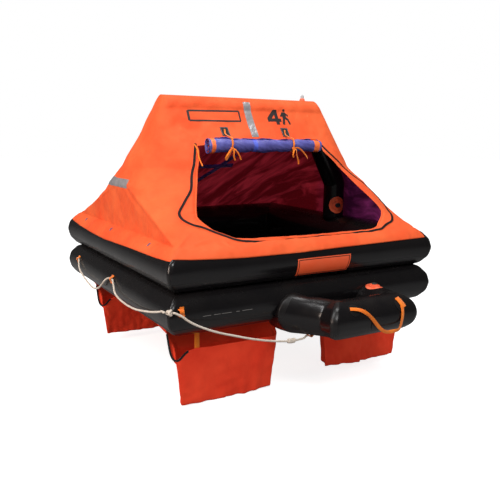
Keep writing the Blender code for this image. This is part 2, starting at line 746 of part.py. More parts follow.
def build_line_loops():
    """Webbing loops welded to the lower tube, through which the grab line runs."""
    flat = TUBE_R * (1 - math.cos(math.pi / TUBE_SIDES)) - GAP
    for name, side, along in LOOPS:
        point, outward = tube_point(side, along, LOOP_ANGLE)
        frame = facing(point - outward * flat, outward)
        plate(f"line_loop_{name}", frame, LOOP_WIDE, LOOP_TALL, LOOP_THICK, "orange_webbing")
    low = ramp_z(RAMP_LOOP_Y) - RAMP_R * math.cos(math.pi / RAMP_SIDES) - GAP
    frame = facing((RAMP_LEFT_X, RAMP_LOOP_Y, low), (0, RAMP_SLOPE, -1), (0, 1, 0))
    plate("line_loop_ramp", frame, LOOP_TALL, LOOP_WIDE, LOOP_THICK, "orange_webbing")


def smooth_route(points, steps):
    """Evenly spaced points on a smooth curve through the route's own points."""
    points = [Vector(p) for p in points]
    ends = [points[0] * 2 - points[1]] + points + [points[-1] * 2 - points[-2]]
    fine = []
    for i in range(1, len(ends) - 2):
        p0, p1, p2, p3 = ends[i - 1:i + 3]
        for k in range(12):
            t = k / 12
            fine.append(0.5 * ((2 * p1) + (p2 - p0) * t + (2 * p0 - 5 * p1 + 4 * p2 - p3) * t ** 2
                               + (3 * p1 - p0 - 3 * p2 + p3) * t ** 3))
    fine.append(points[-1])
    reach = [0.0]
    for a, b in zip(fine, fine[1:]):
        reach.append(reach[-1] + (b - a).length)
    route = []
    for k in range(steps):
        want = reach[-1] * k / (steps - 1)
        j = max(i for i in range(len(reach)) if reach[i] <= want + 1e-9)
        j = min(j, len(fine) - 2)
        part = (want - reach[j]) / (reach[j + 1] - reach[j])
        route.append(fine[j].lerp(fine[j + 1], part))
    return route


def rope(name, points, steps, thick, finish):
    """Round cord as a bevelled curve with closed ends; its first and last stretch are straight."""
    curve = bpy.data.curves.new(name, "CURVE")
    curve.dimensions = "3D"
    curve.bevel_depth = thick / 2
    curve.bevel_resolution = 2
    curve.use_fill_caps = True
    line = curve.splines.new("POLY")
    route = [Vector(points[0])] + smooth_route(points[1:-1], steps) + [Vector(points[-1])]
    line.points.add(len(route) - 1)
    for slot, point in zip(line.points, route):
        slot.co = (*point, 1.0)
    item = bpy.data.objects.new(name, curve)
    bpy.context.scene.collection.objects.link(item)
    curve.materials.append(material(finish).copy())
    return item


# Hand-set routes on the left side as (along, height, distance out of the loop's line)
FAR_SPAN = ((0.603, 0.096, 0.006), (0.575, 0.066, 0.012), (0.516, 0.036, 0.013), (0.400, 0.008, 0.013),
            (0.285, -0.006, 0.013), (0.180, 0.014, 0.013), (0.100, 0.056, 0.013), (0.050, 0.090, 0.011),
            (0.020, 0.106, 0.004))
NEAR_SPAN = ((-0.074, 0.106, 0.005), (-0.106, 0.080, 0.011), (-0.126, 0.054, 0.013), (-0.190, 0.035, 0.013),
             (-0.322, 0.028, 0.013), (-0.464, 0.038, 0.013), (-0.640, 0.070, 0.013), (-0.740, 0.094, 0.012),
             (-0.800, 0.112, 0.012))
RIGHT_SPAN = NEAR_SPAN[:5] + ((-0.440, 0.046, 0.013), (-0.540, 0.078, 0.013), (-0.600, 0.106, 0.006))


def span(name, side, shape, start, end, shift=0.0, closing=None):
    """One hanging stretch of the grab line between two places along a side."""
    first, _ = tube_point(side, start, LOOP_ANGLE, LOOP_RISE)
    last, _ = tube_point(side, end, LOOP_ANGLE, LOOP_RISE)
    directions = {"back": (0, 1), "left": (-1, 0), "right": (1, 0)}
    dx, dy = directions[side]
    base = abs(first.x) if dx else abs(first.y)
    lead = Vector((0, 0.009, 0)) if dx else Vector((0.009, 0, 0))
    points = [first, first - lead]
    for along, z, out in shape:
        reach = base + out
        place_along = along + shift
        points.append(Vector((dx * reach, place_along, z)) if dx else Vector((place_along, dy * reach, z)))
    points += [last + lead, last] if closing is None else closing
    rope(name, points, 14, LINE_D, "white_rope")


def build_grab_line():
    edge = LOOP_WIDE / 2 + 2 * GAP
    for side in ("left", "right"):
        span(f"grab_line_{side}_far", side, FAR_SPAN, 0.640 - edge, -0.030 + edge)
    span("grab_line_back_right", "back", FAR_SPAN, 0.640 - edge, -0.030 + edge)
    span("grab_line_back_left", "back", FAR_SPAN, -0.030 - edge, -0.700 + edge, -0.670)
    span("grab_line_right_near", "right", RIGHT_SPAN, -0.030 - edge, -0.640 + edge)
    centre = Vector(KNOT_AT)
    along = Vector((1, -1, 0)).normalized()
    span("grab_line_left_near", "left", NEAR_SPAN, -0.030 - edge, 0.0,
         closing=[centre - along * (KNOT_HALF + 0.010), centre - along * (KNOT_HALF + GAP)])
    profile = [(0.0065, -KNOT_HALF), (0.0150, -0.013), (0.0185, 0.0), (0.0150, 0.013), (0.0065, KNOT_HALF)]
    place("line_knot", lathe("line_knot", profile, 12, facing(centre, along)), "white_rope")
    leave = centre + along * (KNOT_HALF + GAP)
    loop_low = ramp_z(RAMP_LOOP_Y) - RAMP_R * math.cos(math.pi / RAMP_SIDES) - GAP
    arrive = Vector((RAMP_LEFT_X - LOOP_TALL / 2 - GAP, RAMP_LOOP_Y, loop_low - LOOP_RISE))
    front = [leave, leave + along * 0.009, (-0.802, -0.884, 0.100), (-0.770, -0.892, 0.074),
             (-0.720, -0.899, 0.044), (-0.630, -0.908, 0.004), (-0.520, -0.916, -0.032),
             (-0.410, -0.924, -0.064), (-0.300, -0.930, -0.088), (-0.205, -0.932, -0.101),
             (-0.130, -0.932, -0.099), arrive - Vector((0.012, 0, 0)), arrive]
    rope("grab_line_front", front, 16, LINE_D, "white_rope")


clear_scene()
build_tubes()
build_floor()
build_canopy()
build_arch()
build_door_roll()
build_light()
build_ramp()
build_ramp_strap()
build_boarding_plate()
build_pockets()
build_gas_cylinder()
build_righting_strap()
build_line_loops()
build_grab_line()
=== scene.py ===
# %% [markdown]
# # A four person life raft, dressed around its CAD frame
#
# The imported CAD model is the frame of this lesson: it settles every size and place. Each cell
# adds one part of the raft's looks round it. Almost every piece is rubberised or coated cloth,
# so most shapes are surfaces worked out on a grid, with folds added as functions. +Z is up, the
# doorway faces -Y, and Z = 0 is the waterline of the empty raft.

# %% Load the frame
import math

import bmesh
import bpy
import numpy as np
from mathutils import Matrix, Vector


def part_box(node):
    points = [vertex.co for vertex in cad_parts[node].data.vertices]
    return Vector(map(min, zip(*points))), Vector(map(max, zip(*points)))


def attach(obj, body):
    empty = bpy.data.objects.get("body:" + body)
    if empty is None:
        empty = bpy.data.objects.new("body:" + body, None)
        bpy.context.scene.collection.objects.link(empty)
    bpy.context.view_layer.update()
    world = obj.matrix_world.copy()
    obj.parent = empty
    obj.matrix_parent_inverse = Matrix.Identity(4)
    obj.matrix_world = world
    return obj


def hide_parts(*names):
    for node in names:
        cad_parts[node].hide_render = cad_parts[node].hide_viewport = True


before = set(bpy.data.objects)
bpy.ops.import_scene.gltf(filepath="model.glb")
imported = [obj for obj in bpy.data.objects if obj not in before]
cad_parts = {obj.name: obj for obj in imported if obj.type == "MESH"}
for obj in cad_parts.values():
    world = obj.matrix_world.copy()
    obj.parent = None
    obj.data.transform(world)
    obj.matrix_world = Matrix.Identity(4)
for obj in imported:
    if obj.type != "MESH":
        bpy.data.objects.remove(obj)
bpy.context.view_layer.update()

# %% [markdown]
# ## Camera first
#
# The camera stands low at the raft's front left, where the photograph was taken from. It could
# be aimed with a constraint, but three plain angles keep it exact: yaw turns it from +Y towards
# +X, pitch tips it down and roll leans the picture by less than a degree.

# %% Camera
CAMERA_AT, LENS_MM, SENSOR_MM = (-2.019, -3.519, 0.950), 45.78, 36.0
YAW, PITCH, ROLL = (math.radians(angle) for angle in (31.04, -10.36, 0.78))
look = Vector((math.sin(YAW) * math.cos(PITCH), math.cos(YAW) * math.cos(PITCH), math.sin(PITCH)))
level = Vector((math.cos(YAW), -math.sin(YAW), 0))
above = level.cross(look)
right = level * math.cos(ROLL) + above * math.sin(ROLL)
up = above * math.cos(ROLL) - level * math.sin(ROLL)
camera_data = bpy.data.cameras.new("photo_camera")
camera_data.lens = LENS_MM
camera_data.sensor_width = SENSOR_MM
camera = bpy.data.objects.new("photo_camera", camera_data)
camera.matrix_world = Matrix((right, up, -look)).transposed().to_4x4()
camera.location = CAMERA_AT
bpy.context.scene.collection.objects.link(camera)
bpy.context.scene.camera = camera
print("camera at", CAMERA_AT, "looking along", tuple(round(v, 3) for v in look))

# %% [markdown]
# ## Sizes that the pieces share
#
# These are the CAD part's own driving dimensions. Heights are read off the frame where a node
# gives them.

# %% Sizes
TUBE_R, HALF_SIDE, LOWER_Z, UPPER_Z = 0.118, 0.735, 0.080, 0.293
TUBE_FLAT = (UPPER_Z - LOWER_Z) / 2
HEM_LIFT = 0.0043
ARCH_R, ARCH_Y = 0.070, -0.090
ARCH_FOOT_X, ARCH_TOP_X, ARCH_SHIFT_X = 0.705, 0.480, -0.025
ARCH_KNEE_Z, ARCH_TOP_Z = 0.630, 1.086
RAMP_R, RAMP_LEFT_X, RAMP_RIGHT_X, RAMP_FRONT_Y = 0.100, -0.052, 0.380, -1.054
RAMP_ROOT_Z, RAMP_FRONT_Z = LOWER_Z - 0.060, LOWER_Z - 0.066
RAMP_SLOPE = (RAMP_FRONT_Z - RAMP_ROOT_Z) / (RAMP_FRONT_Y + HALF_SIDE)
FLOOR_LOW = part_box("floor")[0].z
POCKET_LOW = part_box("pocket_front_left")[0].z

# %% [markdown]
# ## Surfaces from grids
#
# One helper turns any grid of points into a mesh. Blender could extrude or loft such shapes by
# hand, but a grid from numpy is exact, quick and carries a UV map in metres, so that a weave or
# a row of stitches keeps its real size on every piece.

# %% Grid helper
def xyz(*axes):
    """Points from coordinates of any shapes that fit each other."""
    return np.stack(np.broadcast_arrays(*axes), -1)


def circle(count):
    """Angles spread evenly once round."""
    return np.linspace(0, math.tau, count, endpoint=False)


def net(*spans):
    """Grids of values, one for each (start, end, count)."""
    return np.meshgrid(*(np.linspace(*span) for span in spans), indexing="ij")


def unit(vectors):
    """Each vector divided by its own length."""
    return vectors / np.maximum(np.linalg.norm(vectors, axis=-1, keepdims=True), 1e-12)


def path_length(points):
    """Length of a polyline."""
    return float(np.linalg.norm(np.diff(points, axis=0), axis=1).sum())


# %% From grid to mesh
def sharpen(piece, degrees):
    """Shades edges sharp where faces meet at more than an angle; returns the piece."""
    piece.data.set_sharp_from_angle(angle=math.radians(degrees))
    return piece


def place_mesh(name, mesh):
    """New object for a mesh, in the scene."""
    piece = bpy.data.objects.new(name, mesh)
    bpy.context.scene.collection.objects.link(piece)
    return piece


def skin(name, grid, wrap=(False, False), capped=False, wall=0.0, centre=0.0):
    """Object whose quads join a (rows, columns, xyz) grid; wrap closes rows or columns round.

    The UV map holds the mean distance walked along each direction, in metres. A wall above
    zero gives the sheet that thickness, and centre says on which side of it.
    """
    grid = np.asarray(grid, float)
    rows, columns = grid.shape[:2]
    i, j = np.meshgrid(np.arange(rows - (not wrap[0])), np.arange(columns - (not wrap[1])), indexing="ij")
    corners = ((i, j), (i, j + 1), (i + 1, j + 1), (i + 1, j))
    faces = np.stack([(a % rows) * columns + b % columns for a, b in corners], -1).reshape(-1, 4).tolist()
    if capped:
        faces += [list(range(columns))[::-1], list(range((rows - 1) * columns, rows * columns))]
    mesh = bpy.data.meshes.new(name)
    mesh.from_pydata(grid.reshape(-1, 3).tolist(), [], faces)
    v, u = (np.append(0.0, np.cumsum(np.linalg.norm(np.roll(grid, -1, k) - grid, axis=2).mean(1 - k)))
            for k in (0, 1))
    uv = np.stack([xyz(u[b], v[a]) for a, b in corners], 2).reshape(-1, 2)
    flat = np.zeros((len(mesh.loops), 2))
    flat[:len(uv)] = uv
    mesh.uv_layers.new(name="UVMap").data.foreach_set("uv", flat.ravel())
    mesh.shade_smooth()
    piece = place_mesh(name, mesh)
    if wall:
        thick = piece.modifiers.new("wall", "SOLIDIFY")
        thick.thickness = wall
        thick.offset = centre
    return piece


def turn_outwards(piece):
    """Flips a closed mesh whose signed volume is negative, so that its faces point outwards."""
    mesh = piece.data
    mesh.calc_loop_triangles()
    at = np.zeros(len(mesh.vertices) * 3)
    mesh.vertices.foreach_get("co", at)
    tri = np.zeros(len(mesh.loop_triangles) * 3, int)
    mesh.loop_triangles.foreach_get("vertices", tri)
    a, b, c = at.reshape(-1, 3)[tri.reshape(-1, 3)].transpose(1, 0, 2)
    volume = (a * np.cross(b, c)).sum() / 6
    if volume < 0:
        mesh.flip_normals()
    return abs(volume)


def dress(piece, finish, slot, *nodes):
    """Gives a piece its material and its body, and hides the CAD nodes it stands for; slot is not used."""
    piece.data.materials.append(finish)
    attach(piece, "root")
    if nodes:
        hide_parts(*nodes)
    return piece


# %% Unevenness and smooth paths
def ripple(x, y, wavelength, seed, waves=7):
    """Smooth unevenness from -1 to 1: a sum of plane waves in random directions."""
    pick = np.random.default_rng(seed)
    total = np.zeros(np.broadcast(x, y).shape)
    for turn, phase, stretch in pick.uniform((0, 0, 0.7), (math.tau, math.tau, 1.5), (waves, 3)):
        total += np.sin(math.tau / (wavelength * stretch) * (x * math.cos(turn) + y * math.sin(turn)) + phase)
    return total / waves ** 0.5 / 1.6


def even_path(points, count, endpoint=True):
    """Evenly spaced points along a polyline."""
    reach = np.append(0, np.cumsum(np.linalg.norm(np.diff(points, axis=0), axis=1)))
    want = np.linspace(0, reach[-1], count, endpoint=endpoint)
    return np.stack([np.interp(want, reach, axis) for axis in points.T], 1)


def smooth_path(points, count):
    """Evenly spaced points on a Catmull-Rom curve through the given ones."""
    given = np.asarray(points, float)
    ends = np.vstack([2 * given[0] - given[1], given, 2 * given[-1] - given[-2]])
    t = np.linspace(0, 1, 24, endpoint=False)[:, None]
    parts = [0.5 * (2 * b + (c - a) * t + (2 * a - 5 * b + 4 * c - d) * t ** 2
                    + (3 * b - a - 3 * c + d) * t ** 3)
             for a, b, c, d in zip(ends, ends[1:], ends[2:], ends[3:])]
    return even_path(np.vstack(parts + [given[-1:]]), count)


# %% Sections carried along paths
def carry(name, path, section, facing, loop=False):
    """A closed outline carried along a path, which may be a closed loop itself.

    section is an array (points, 2) or (rows, points, 2) of sideways and outward distances, and
    facing gives the outward direction, one for all or one for each row.
    """
    path = np.asarray(path, float)
    along = unit(np.roll(path, -1, 0) - np.roll(path, 1, 0) if loop else np.gradient(path, axis=0))
    side = unit(np.cross(along, np.broadcast_to(np.asarray(facing, float), path.shape)))
    outward = np.cross(side, along)
    section = np.broadcast_to(section, (len(path),) + np.shape(section)[-2:])
    grid = path[:, None] + section[..., :1] * side[:, None] + section[..., 1:] * outward[:, None]
    piece = skin(name, grid, wrap=(loop, True), capped=not loop)
    turn_outwards(piece)
    return piece


def strap(name, path, width, thick, facing, loop=False):
    """Webbing or tape: a flat section with bevelled edges carried along a path."""
    half = np.broadcast_to(np.asarray(width, float), (len(path),)) / 2
    bevel, t = min(thick / 3, half.min() / 2), thick / 2
    x = half[:, None] * (-1, -1, -1, 1, 1, 1, 1, -1) + bevel * np.array((0, 0, 1, -1, 0, 0, -1, 1))
    return sharpen(carry(name, path, xyz(x, (-t / 2, t / 2, t, t, t / 2, -t / 2, -t, -t)), facing, loop), 40)


def patch(name, at, lift_down):
    """Closed thin patch: a grid of points whose rim drops by lift_down, given for each point."""
    low = at - lift_down
    first, last = (np.concatenate([row[:, :1], row, row[:, -1:]], 1) for row in (low[:1], low[-1:]))
    middle = np.concatenate([low[:, :1], at, low[:, -1:]], 1)
    return sharpen(skin(name, np.concatenate([first, middle, last])), 40)


# %% Joined pieces and turned solids
def merge(name, pieces):
    """Joins pieces with one material into a single object."""
    together = bmesh.new()
    for piece in pieces:
        together.from_mesh(piece.data)
        bpy.data.objects.remove(piece)
    mesh = bpy.data.meshes.new(name)
    together.to_mesh(mesh)
    together.free()
    return place_mesh(name, mesh)


def turned(name, profile, at, axis, steps=48):
    """Solid of revolution: (radius, height) pairs turned round an axis through a point."""
    profile = np.asarray(profile, float)
    z = np.array(Vector(axis).normalized())
    x = unit(np.cross(z, (0.31, 0.95, 0.05)))
    turn = circle(steps)[:, None]
    ring = np.cos(turn) * x + np.sin(turn) * np.cross(z, x)
    grid = np.array(at) + profile[:, None, :1] * ring[None] + profile[:, None, 1:] * z
    piece = skin(name, grid, wrap=(False, True), capped=True)
    turn_outwards(piece)
    return sharpen(piece, 50)


# %% [markdown]
# ## Finishes: small node helpers
#
# Every finish is a Principled shader fed by procedural patterns. Writing each node by hand
# would hide the idea in wiring, so a few short helpers add a node, do one sum or feed the
# shader. The shared effects below are node groups: each is built once and gets its own values.

# %% Node helpers
def put(tree, socket, value):
    """Links a socket to another, or sets its value; a colour may leave out its alpha."""
    if isinstance(value, bpy.types.NodeSocket):
        tree.links.new(value, socket)
    else:
        socket.default_value = (*value, 1.0) if socket.type == "RGBA" and len(value) == 3 else value


def node(tree, kind, settings=None, sockets=None):
    """Adds a node; settings are its properties, sockets its inputs, linked or set."""
    made = tree.nodes.new(kind)
    for key, value in (settings or {}).items():
        setattr(made, key, value)
    for key, value in (sockets or {}).items():
        put(tree, made.inputs[key], value)
    return made


def calc(tree, operation, first, second=0.0, third=0.0, clamp=False):
    """Output socket of a Math node."""
    settings = {"operation": operation, "use_clamp": clamp}
    return node(tree, "ShaderNodeMath", settings, {0: first, 1: second, 2: third}).outputs[0]


def blend(tree, share, first, second):
    """Output socket of a colour mix."""
    sockets = {"Factor": share, 6: first, 7: second}
    return node(tree, "ShaderNodeMix", {"data_type": "RGBA"}, sockets).outputs[2]


def ranged(tree, value, low=0.0, high=1.0, to_low=0.0, to_high=1.0):
    """Output socket that carries a value from one range to another."""
    return node(tree, "ShaderNodeMapRange", None, {
        "Value": value, "From Min": low, "From Max": high, "To Min": to_low, "To Max": to_high}).outputs[0]


def noise(tree, vector, scale, detail, rough=0.5, distortion=0.0, **settings):
    """Output socket of a noise texture."""
    return node(tree, "ShaderNodeTexNoise", settings, {
        "Vector": vector, "Scale": scale, "Detail": detail, "Roughness": rough,
        "Distortion": distortion}).outputs["Fac"]


def apart(tree, vector, axis):
    """Output socket of one coordinate of a vector."""
    return node(tree, "ShaderNodeSeparateXYZ", None, {"Vector": vector}).outputs[axis]


def feed(tree, **sockets):
    """Links or sets the shader's own sockets."""
    for key, value in sockets.items():
        put(tree, tree.nodes["Principled BSDF"].inputs[key.replace("_", " ")], value)


# %% Node groups
def group(name, inputs, output):
    """An empty node group; returns its tree, its input sockets and its output sockets."""
    tree = bpy.data.node_groups.new(name, "ShaderNodeTree")
    for label, kind, default in inputs:
        socket = tree.interface.new_socket(label, in_out="INPUT", socket_type=f"NodeSocket{kind}")
        if default is not None:
            socket.default_value = default
    for label, kind in output:
        tree.interface.new_socket(label, in_out="OUTPUT", socket_type=f"NodeSocket{kind}")
    return tree, tree.nodes.new("NodeGroupInput").outputs, tree.nodes.new("NodeGroupOutput").inputs


# %% [markdown]
# ## Shared effects
#
# Cloth is never one flat colour. *Shade wander* drifts between two colours over a hand's width,
# *crumple* gives the soft dents of coated cloth that was packed for years, *weave* is the plain
# over-and-under of its threads, and *dust* is the pale film and scuffs that black rubber shows.

# %% Shade wander
VECTOR_IN = ("Vector", "Vector", None)
tree, enter, leave = group("shade_wander", (
    VECTOR_IN, ("Size", "Float", 0.2), ("Colour", "Color", (1, 1, 1, 1)),
    ("Deeper", "Color", (0.8, 0.8, 0.8, 1)), ("Amount", "Float", 1.0)),
    (("Colour", "Color"), ("Share", "Float")))
cloud = noise(tree, enter["Vector"], calc(tree, "DIVIDE", 1.0, enter["Size"]), 4.0, 0.55)
share = calc(tree, "MULTIPLY", ranged(tree, cloud, 0.32, 0.68), enter["Amount"], clamp=True)
put(tree, leave["Colour"], blend(tree, share, enter["Colour"], enter["Deeper"]))
put(tree, leave["Share"], share)

# %% Crumple
tree, enter, leave = group("crumple", (VECTOR_IN, ("Size", "Float", 0.05), ("Sharpness", "Float", 2.0)),
                           (("Height", "Float"),))
scale = calc(tree, "DIVIDE", 1.0, enter["Size"])
folds = noise(tree, enter["Vector"], scale, 2.0, 0.5, 0.6, noise_type="RIDGED_MULTIFRACTAL")
soft = noise(tree, enter["Vector"], calc(tree, "MULTIPLY", scale, 0.45), 2.0)
sharp = calc(tree, "POWER", calc(tree, "MULTIPLY", folds, 0.6), enter["Sharpness"])
put(tree, leave["Height"], calc(tree, "ADD", sharp, soft))

# %% Weave
tree, enter, leave = group("weave", (VECTOR_IN, ("Thread", "Float", 0.0008)), (("Height", "Float"),))
turns = calc(tree, "DIVIDE", math.pi, enter["Thread"])
warp, weft = (calc(tree, "SINE", calc(tree, "MULTIPLY", apart(tree, enter["Vector"], axis), turns))
              for axis in "XY")
put(tree, leave["Height"], calc(tree, "MULTIPLY", warp, weft))

# %% Dust
tree, enter, leave = group("dust", (VECTOR_IN, ("Size", "Float", 0.1), ("Cover", "Float", 0.3)),
                           (("Mask", "Float"),))
film = noise(tree, enter["Vector"], calc(tree, "DIVIDE", 1.0, enter["Size"]), 8.0, 0.7)
upward = apart(tree, node(tree, "ShaderNodeNewGeometry").outputs["Normal"], "Z")
patchy = ranged(tree, film, calc(tree, "SUBTRACT", 0.62, enter["Cover"]), 0.85)
put(tree, leave["Mask"], calc(tree, "MULTIPLY", patchy, ranged(tree, upward, -0.2, 1.0, 0.25), clamp=True))
print("effects:", [tree.name for tree in bpy.data.node_groups])

# %% [markdown]
# ## Cloth and rubber finishes
#
# The raft has two families of finish. Coated cloth is fairly matt and shows its weave close up.
# Hull rubber is a black coating with a soft gloss, so its shape is read from broad highlights.
# One builder makes each family: a finish is a row of real values, and only its pattern differs.

# %% Finish builder
def effect(tree, source, **sockets):
    """Places a shared effect in a finish, with its own values; returns its output sockets."""
    return node(tree, "ShaderNodeGroup", {"node_tree": bpy.data.node_groups[source]}, sockets).outputs


def bumps(tree, *layers):
    """Stacks (height socket, depth in metres) layers into one normal."""
    normal = None
    for height, depth in layers:
        sockets = {"Height": height, "Distance": depth, "Strength": 1.0}
        if normal:
            sockets["Normal"] = normal
        normal = node(tree, "ShaderNodeBump", None, sockets).outputs[0]
    return normal


def start_finish(name, **sockets):
    """A new material; returns it with its tree, Object coordinates and UV map."""
    made = bpy.data.materials.new(name)
    made.use_nodes = True
    feed(made.node_tree, **sockets)
    where = made.node_tree.nodes.new("ShaderNodeTexCoord")
    return made, made.node_tree, where.outputs["Object"], where.outputs["UV"]


# %% Cloth finishes
def cloth(name, colour, deeper, rough, size, fold, fold_depth, thread=0.0009, painted_glow=0.0, **sockets):
    """Coated cloth: its colour drifts to a deeper one, with folds and threads, and it can emit its own colour
    as a painted glow, though it is no lamp.
    """
    made, tree, place, laid = start_finish(name, **sockets)
    tint, share = effect(tree, "shade_wander", Vector=place, Size=size, Colour=colour, Deeper=deeper)
    crumpled = effect(tree, "crumple", Vector=place, Size=fold)[0]
    threads = effect(tree, "weave", Vector=laid, Thread=thread)[0]
    feed(tree, Base_Color=tint, Roughness=ranged(tree, share, to_low=rough - 0.04, to_high=rough + 0.06),
         Normal=bumps(tree, (crumpled, fold_depth), (threads, 0.0001)))
    # Painted glow: the cloth emits its own colour, though it is no lamp.
    if painted_glow:
        feed(tree, Emission_Color=tint, Emission_Strength=painted_glow)
    return made


# The canopy, its lining and the pockets get a painted glow.
orange_cloth = cloth("canopy_orange", (0.69, 0.112, 0.031), (0.66, 0.068, 0.017), 0.58, 0.30, 0.075, 0.026,
                     painted_glow=0.08, Specular_IOR_Level=0.12)
lining = cloth("canopy_lining", (0.21, 0.006, 0.012), (0.13, 0.004, 0.013), 0.62, 0.30, 0.09, 0.006,
               painted_glow=0.18, Specular_IOR_Level=0.12)
pocket_cloth = cloth("pocket_red", (0.80, 0.058, 0.022), (0.68, 0.036, 0.014), 0.70, 0.20, 0.07, 0.004,
                     thread=0.0012, painted_glow=0.08, Specular_IOR_Level=0.12)

print("cloths:", [finish.name for finish in (orange_cloth, lining, pocket_cloth)])

# %% Folds of the lining
# It hangs in slanting folds and turns violet towards the right. Its lighter streaks along the folds are
# painted light, and its darker ones are painted shade.
tree = lining.node_tree
place = node(tree, "ShaderNodeTexCoord").outputs["Object"]
slanted = node(tree, "ShaderNodeMapping", {"vector_type": "TEXTURE"}, {
    "Vector": place, "Rotation": (0.0, math.radians(36), 0.0), "Scale": (0.085, 0.30, 0.90)})
streak = noise(tree, slanted.outputs[0], 1.0, 4.0, 0.6, 0.8)
painted_fold_light = ranged(tree, streak, 0.44, 0.66)
rightward = ranged(tree, calc(tree, "SUBTRACT", apart(tree, place, "X"), apart(tree, place, "Y")), 0.55, 0.95)
tint = blend(tree, rightward, blend(tree, painted_fold_light, (0.20, 0.006, 0.013), (0.62, 0.034, 0.060)),
             blend(tree, painted_fold_light, (0.045, 0.004, 0.030), (0.200, 0.022, 0.130)))
# The lining emits this colour, with its painted light and shade, as a painted glow.
feed(tree, Base_Color=tint, Emission_Color=tint, Normal=bumps(tree, (streak, 0.030)))

# %% [markdown]
# Black hull cloth is coated with rubber. Its gloss is low and its colour nearly constant, so the
# shine is broken up by a pale film on the upper faces, by shallow dents and by a fine grain.
# The specular level is a plain number on the shader, a bit under that of glass.

# %% Rubber finishes
def rubber(name, colour, rough, film_colour, cover=0.30, shine=0.35, size=0.2, dent=0.0012):
    """Coated rubber: a film of dust lightens and roughens it, over dents and a fine grain."""
    made, tree, place, _ = start_finish(name, Specular_IOR_Level=shine)
    film = effect(tree, "dust", Vector=place, Size=size, Cover=cover)[0]
    dents = effect(tree, "crumple", Vector=place, Size=0.09)[0]
    feed(tree, Base_Color=blend(tree, film, colour, film_colour),
         Roughness=ranged(tree, film, to_low=rough, to_high=rough + 0.22),
         Normal=bumps(tree, (dents, dent), (noise(tree, place, 700.0, 2.0), 0.00008)))
    return made


# On the hull the pale dust film is tinted brown, which also stands in for a painted warm reflection of the
# orange cloth.
hull_black = rubber("hull_black", (0.0045, 0.0040, 0.0046), 0.20, (0.010, 0.0075, 0.0068), cover=0.28,
                    shine=0.36)
seam_black = rubber("seam_black", (0.0050, 0.0045, 0.0050), 0.30, (0.018, 0.015, 0.014))
valve_orange = rubber("valve_orange", (0.80, 0.085, 0.022), 0.45, (0.80, 0.26, 0.15), cover=0.25, size=0.03)
plate_orange = rubber("plate_orange", (0.90, 0.105, 0.028), 0.50, (0.86, 0.22, 0.11), cover=0.25, size=0.08)
hose_black = rubber("hose_black", (0.012, 0.012, 0.012), 0.5, (0.06, 0.055, 0.05), cover=0.4, size=0.03)

# %% [markdown]
# Webbing is woven in ribs across its length. The ribs are a sine of the distance along the
# strap, which the UV map gives in metres, times a sine across it, so that the pattern staggers.

# %% Webbing, rope and metal finishes
MATT = 0.1


def webbing(name, colour, deeper, rib=0.0024, depth=0.0004, shine=0.5):
    """Woven strap: ribs across the length, staggered like twill, slightly faded colour, and painted shade
    that darkens the grooves between ribs.
    """
    made, tree, place, laid = start_finish(name, Sheen_Weight=0.25, Roughness=0.75, Specular_IOR_Level=shine)
    tint = effect(tree, "shade_wander", Vector=place, Size=0.04, Colour=colour, Deeper=deeper)[0]
    ribs = effect(tree, "weave", Vector=laid, Thread=rib)[0]
    # Painted shade: the colour darkens in the grooves between the ribs.
    painted_groove_shade = tuple(0.45 * c for c in deeper)
    feed(tree, Base_Color=blend(tree, ranged(tree, ribs, -1.0, 1.0, 0.35, 0.0), tint, painted_groove_shade),
         Normal=bumps(tree, (ribs, depth)))
    return made


def metal(name, colour, rough, **sockets):
    """Drawn or painted metal: a fine grain and a cloudy gloss."""
    made, tree, place, _ = start_finish(name, **sockets)
    film = effect(tree, "dust", Vector=place, Size=0.03, Cover=0.3)[0]
    feed(tree, Base_Color=blend(tree, film, colour, tuple(0.7 * c + 0.06 for c in colour)),
         Roughness=ranged(tree, film, to_low=rough, to_high=rough + 0.2),
         Normal=bumps(tree, (noise(tree, place, 400.0, 3.0), 0.00004)))
    return made


orange_webbing = webbing("strap_orange", (0.88, 0.235, 0.012), (0.80, 0.150, 0.008), shine=MATT)
black_webbing = webbing("strap_black", (0.014, 0.014, 0.016), (0.010, 0.010, 0.012), shine=MATT)
violet_webbing = webbing("strap_violet", (0.150, 0.060, 0.400), (0.110, 0.040, 0.300), shine=MATT)
binding_black = webbing("pocket_binding", (0.008, 0.006, 0.007), (0.005, 0.004, 0.005), rib=0.0016,
                        shine=MATT)
stitch_grey = webbing("stitch_grey", (0.32, 0.30, 0.30), (0.20, 0.19, 0.19), rib=0.0026)
tab_blue = webbing("tab_blue", (0.030, 0.035, 0.13), (0.020, 0.022, 0.09))
rope_white = webbing("rope_white", (0.74, 0.66, 0.57), (0.60, 0.50, 0.40), rib=0.0009, depth=0.00025)
bottle_grey = metal("bottle_grey", (0.30, 0.31, 0.33), 0.35, Coat_Weight=0.4)
steel = metal("fitting_steel", (0.58, 0.57, 0.55), 0.28, Metallic=1.0)
print("finishes so far:", len(bpy.data.materials))

# %% [markdown]
# ## The grab line
#
# A laid rope of 11 mm hangs in bights from webbing loops all round the lower tube. Between two
# loops it is held at both ends, so it sags and stands a little off the tube. Its routes repeat
# the CAD model's points. Three strands could be three curves, but one tube whose section has
# three lobes and turns once every 36 mm gives the same surface with no gaps inside.

# %% Rope routes
LINE_D, GAP = 0.011, 0.0003
LOOP_ANGLE, LOOP_RISE, LOOP_WIDE, LOOP_TALL = 15.0, 0.0061, 0.026, 0.030
KNOT_AT, KNOT_HALF = Vector((-0.8555, -0.8555, 0.118)), 0.020
RAMP_LOOP_Y, RAMP_SIDES = -0.930, 20
LEG_LEAN, CORNER_IN = 0.080, 0.045
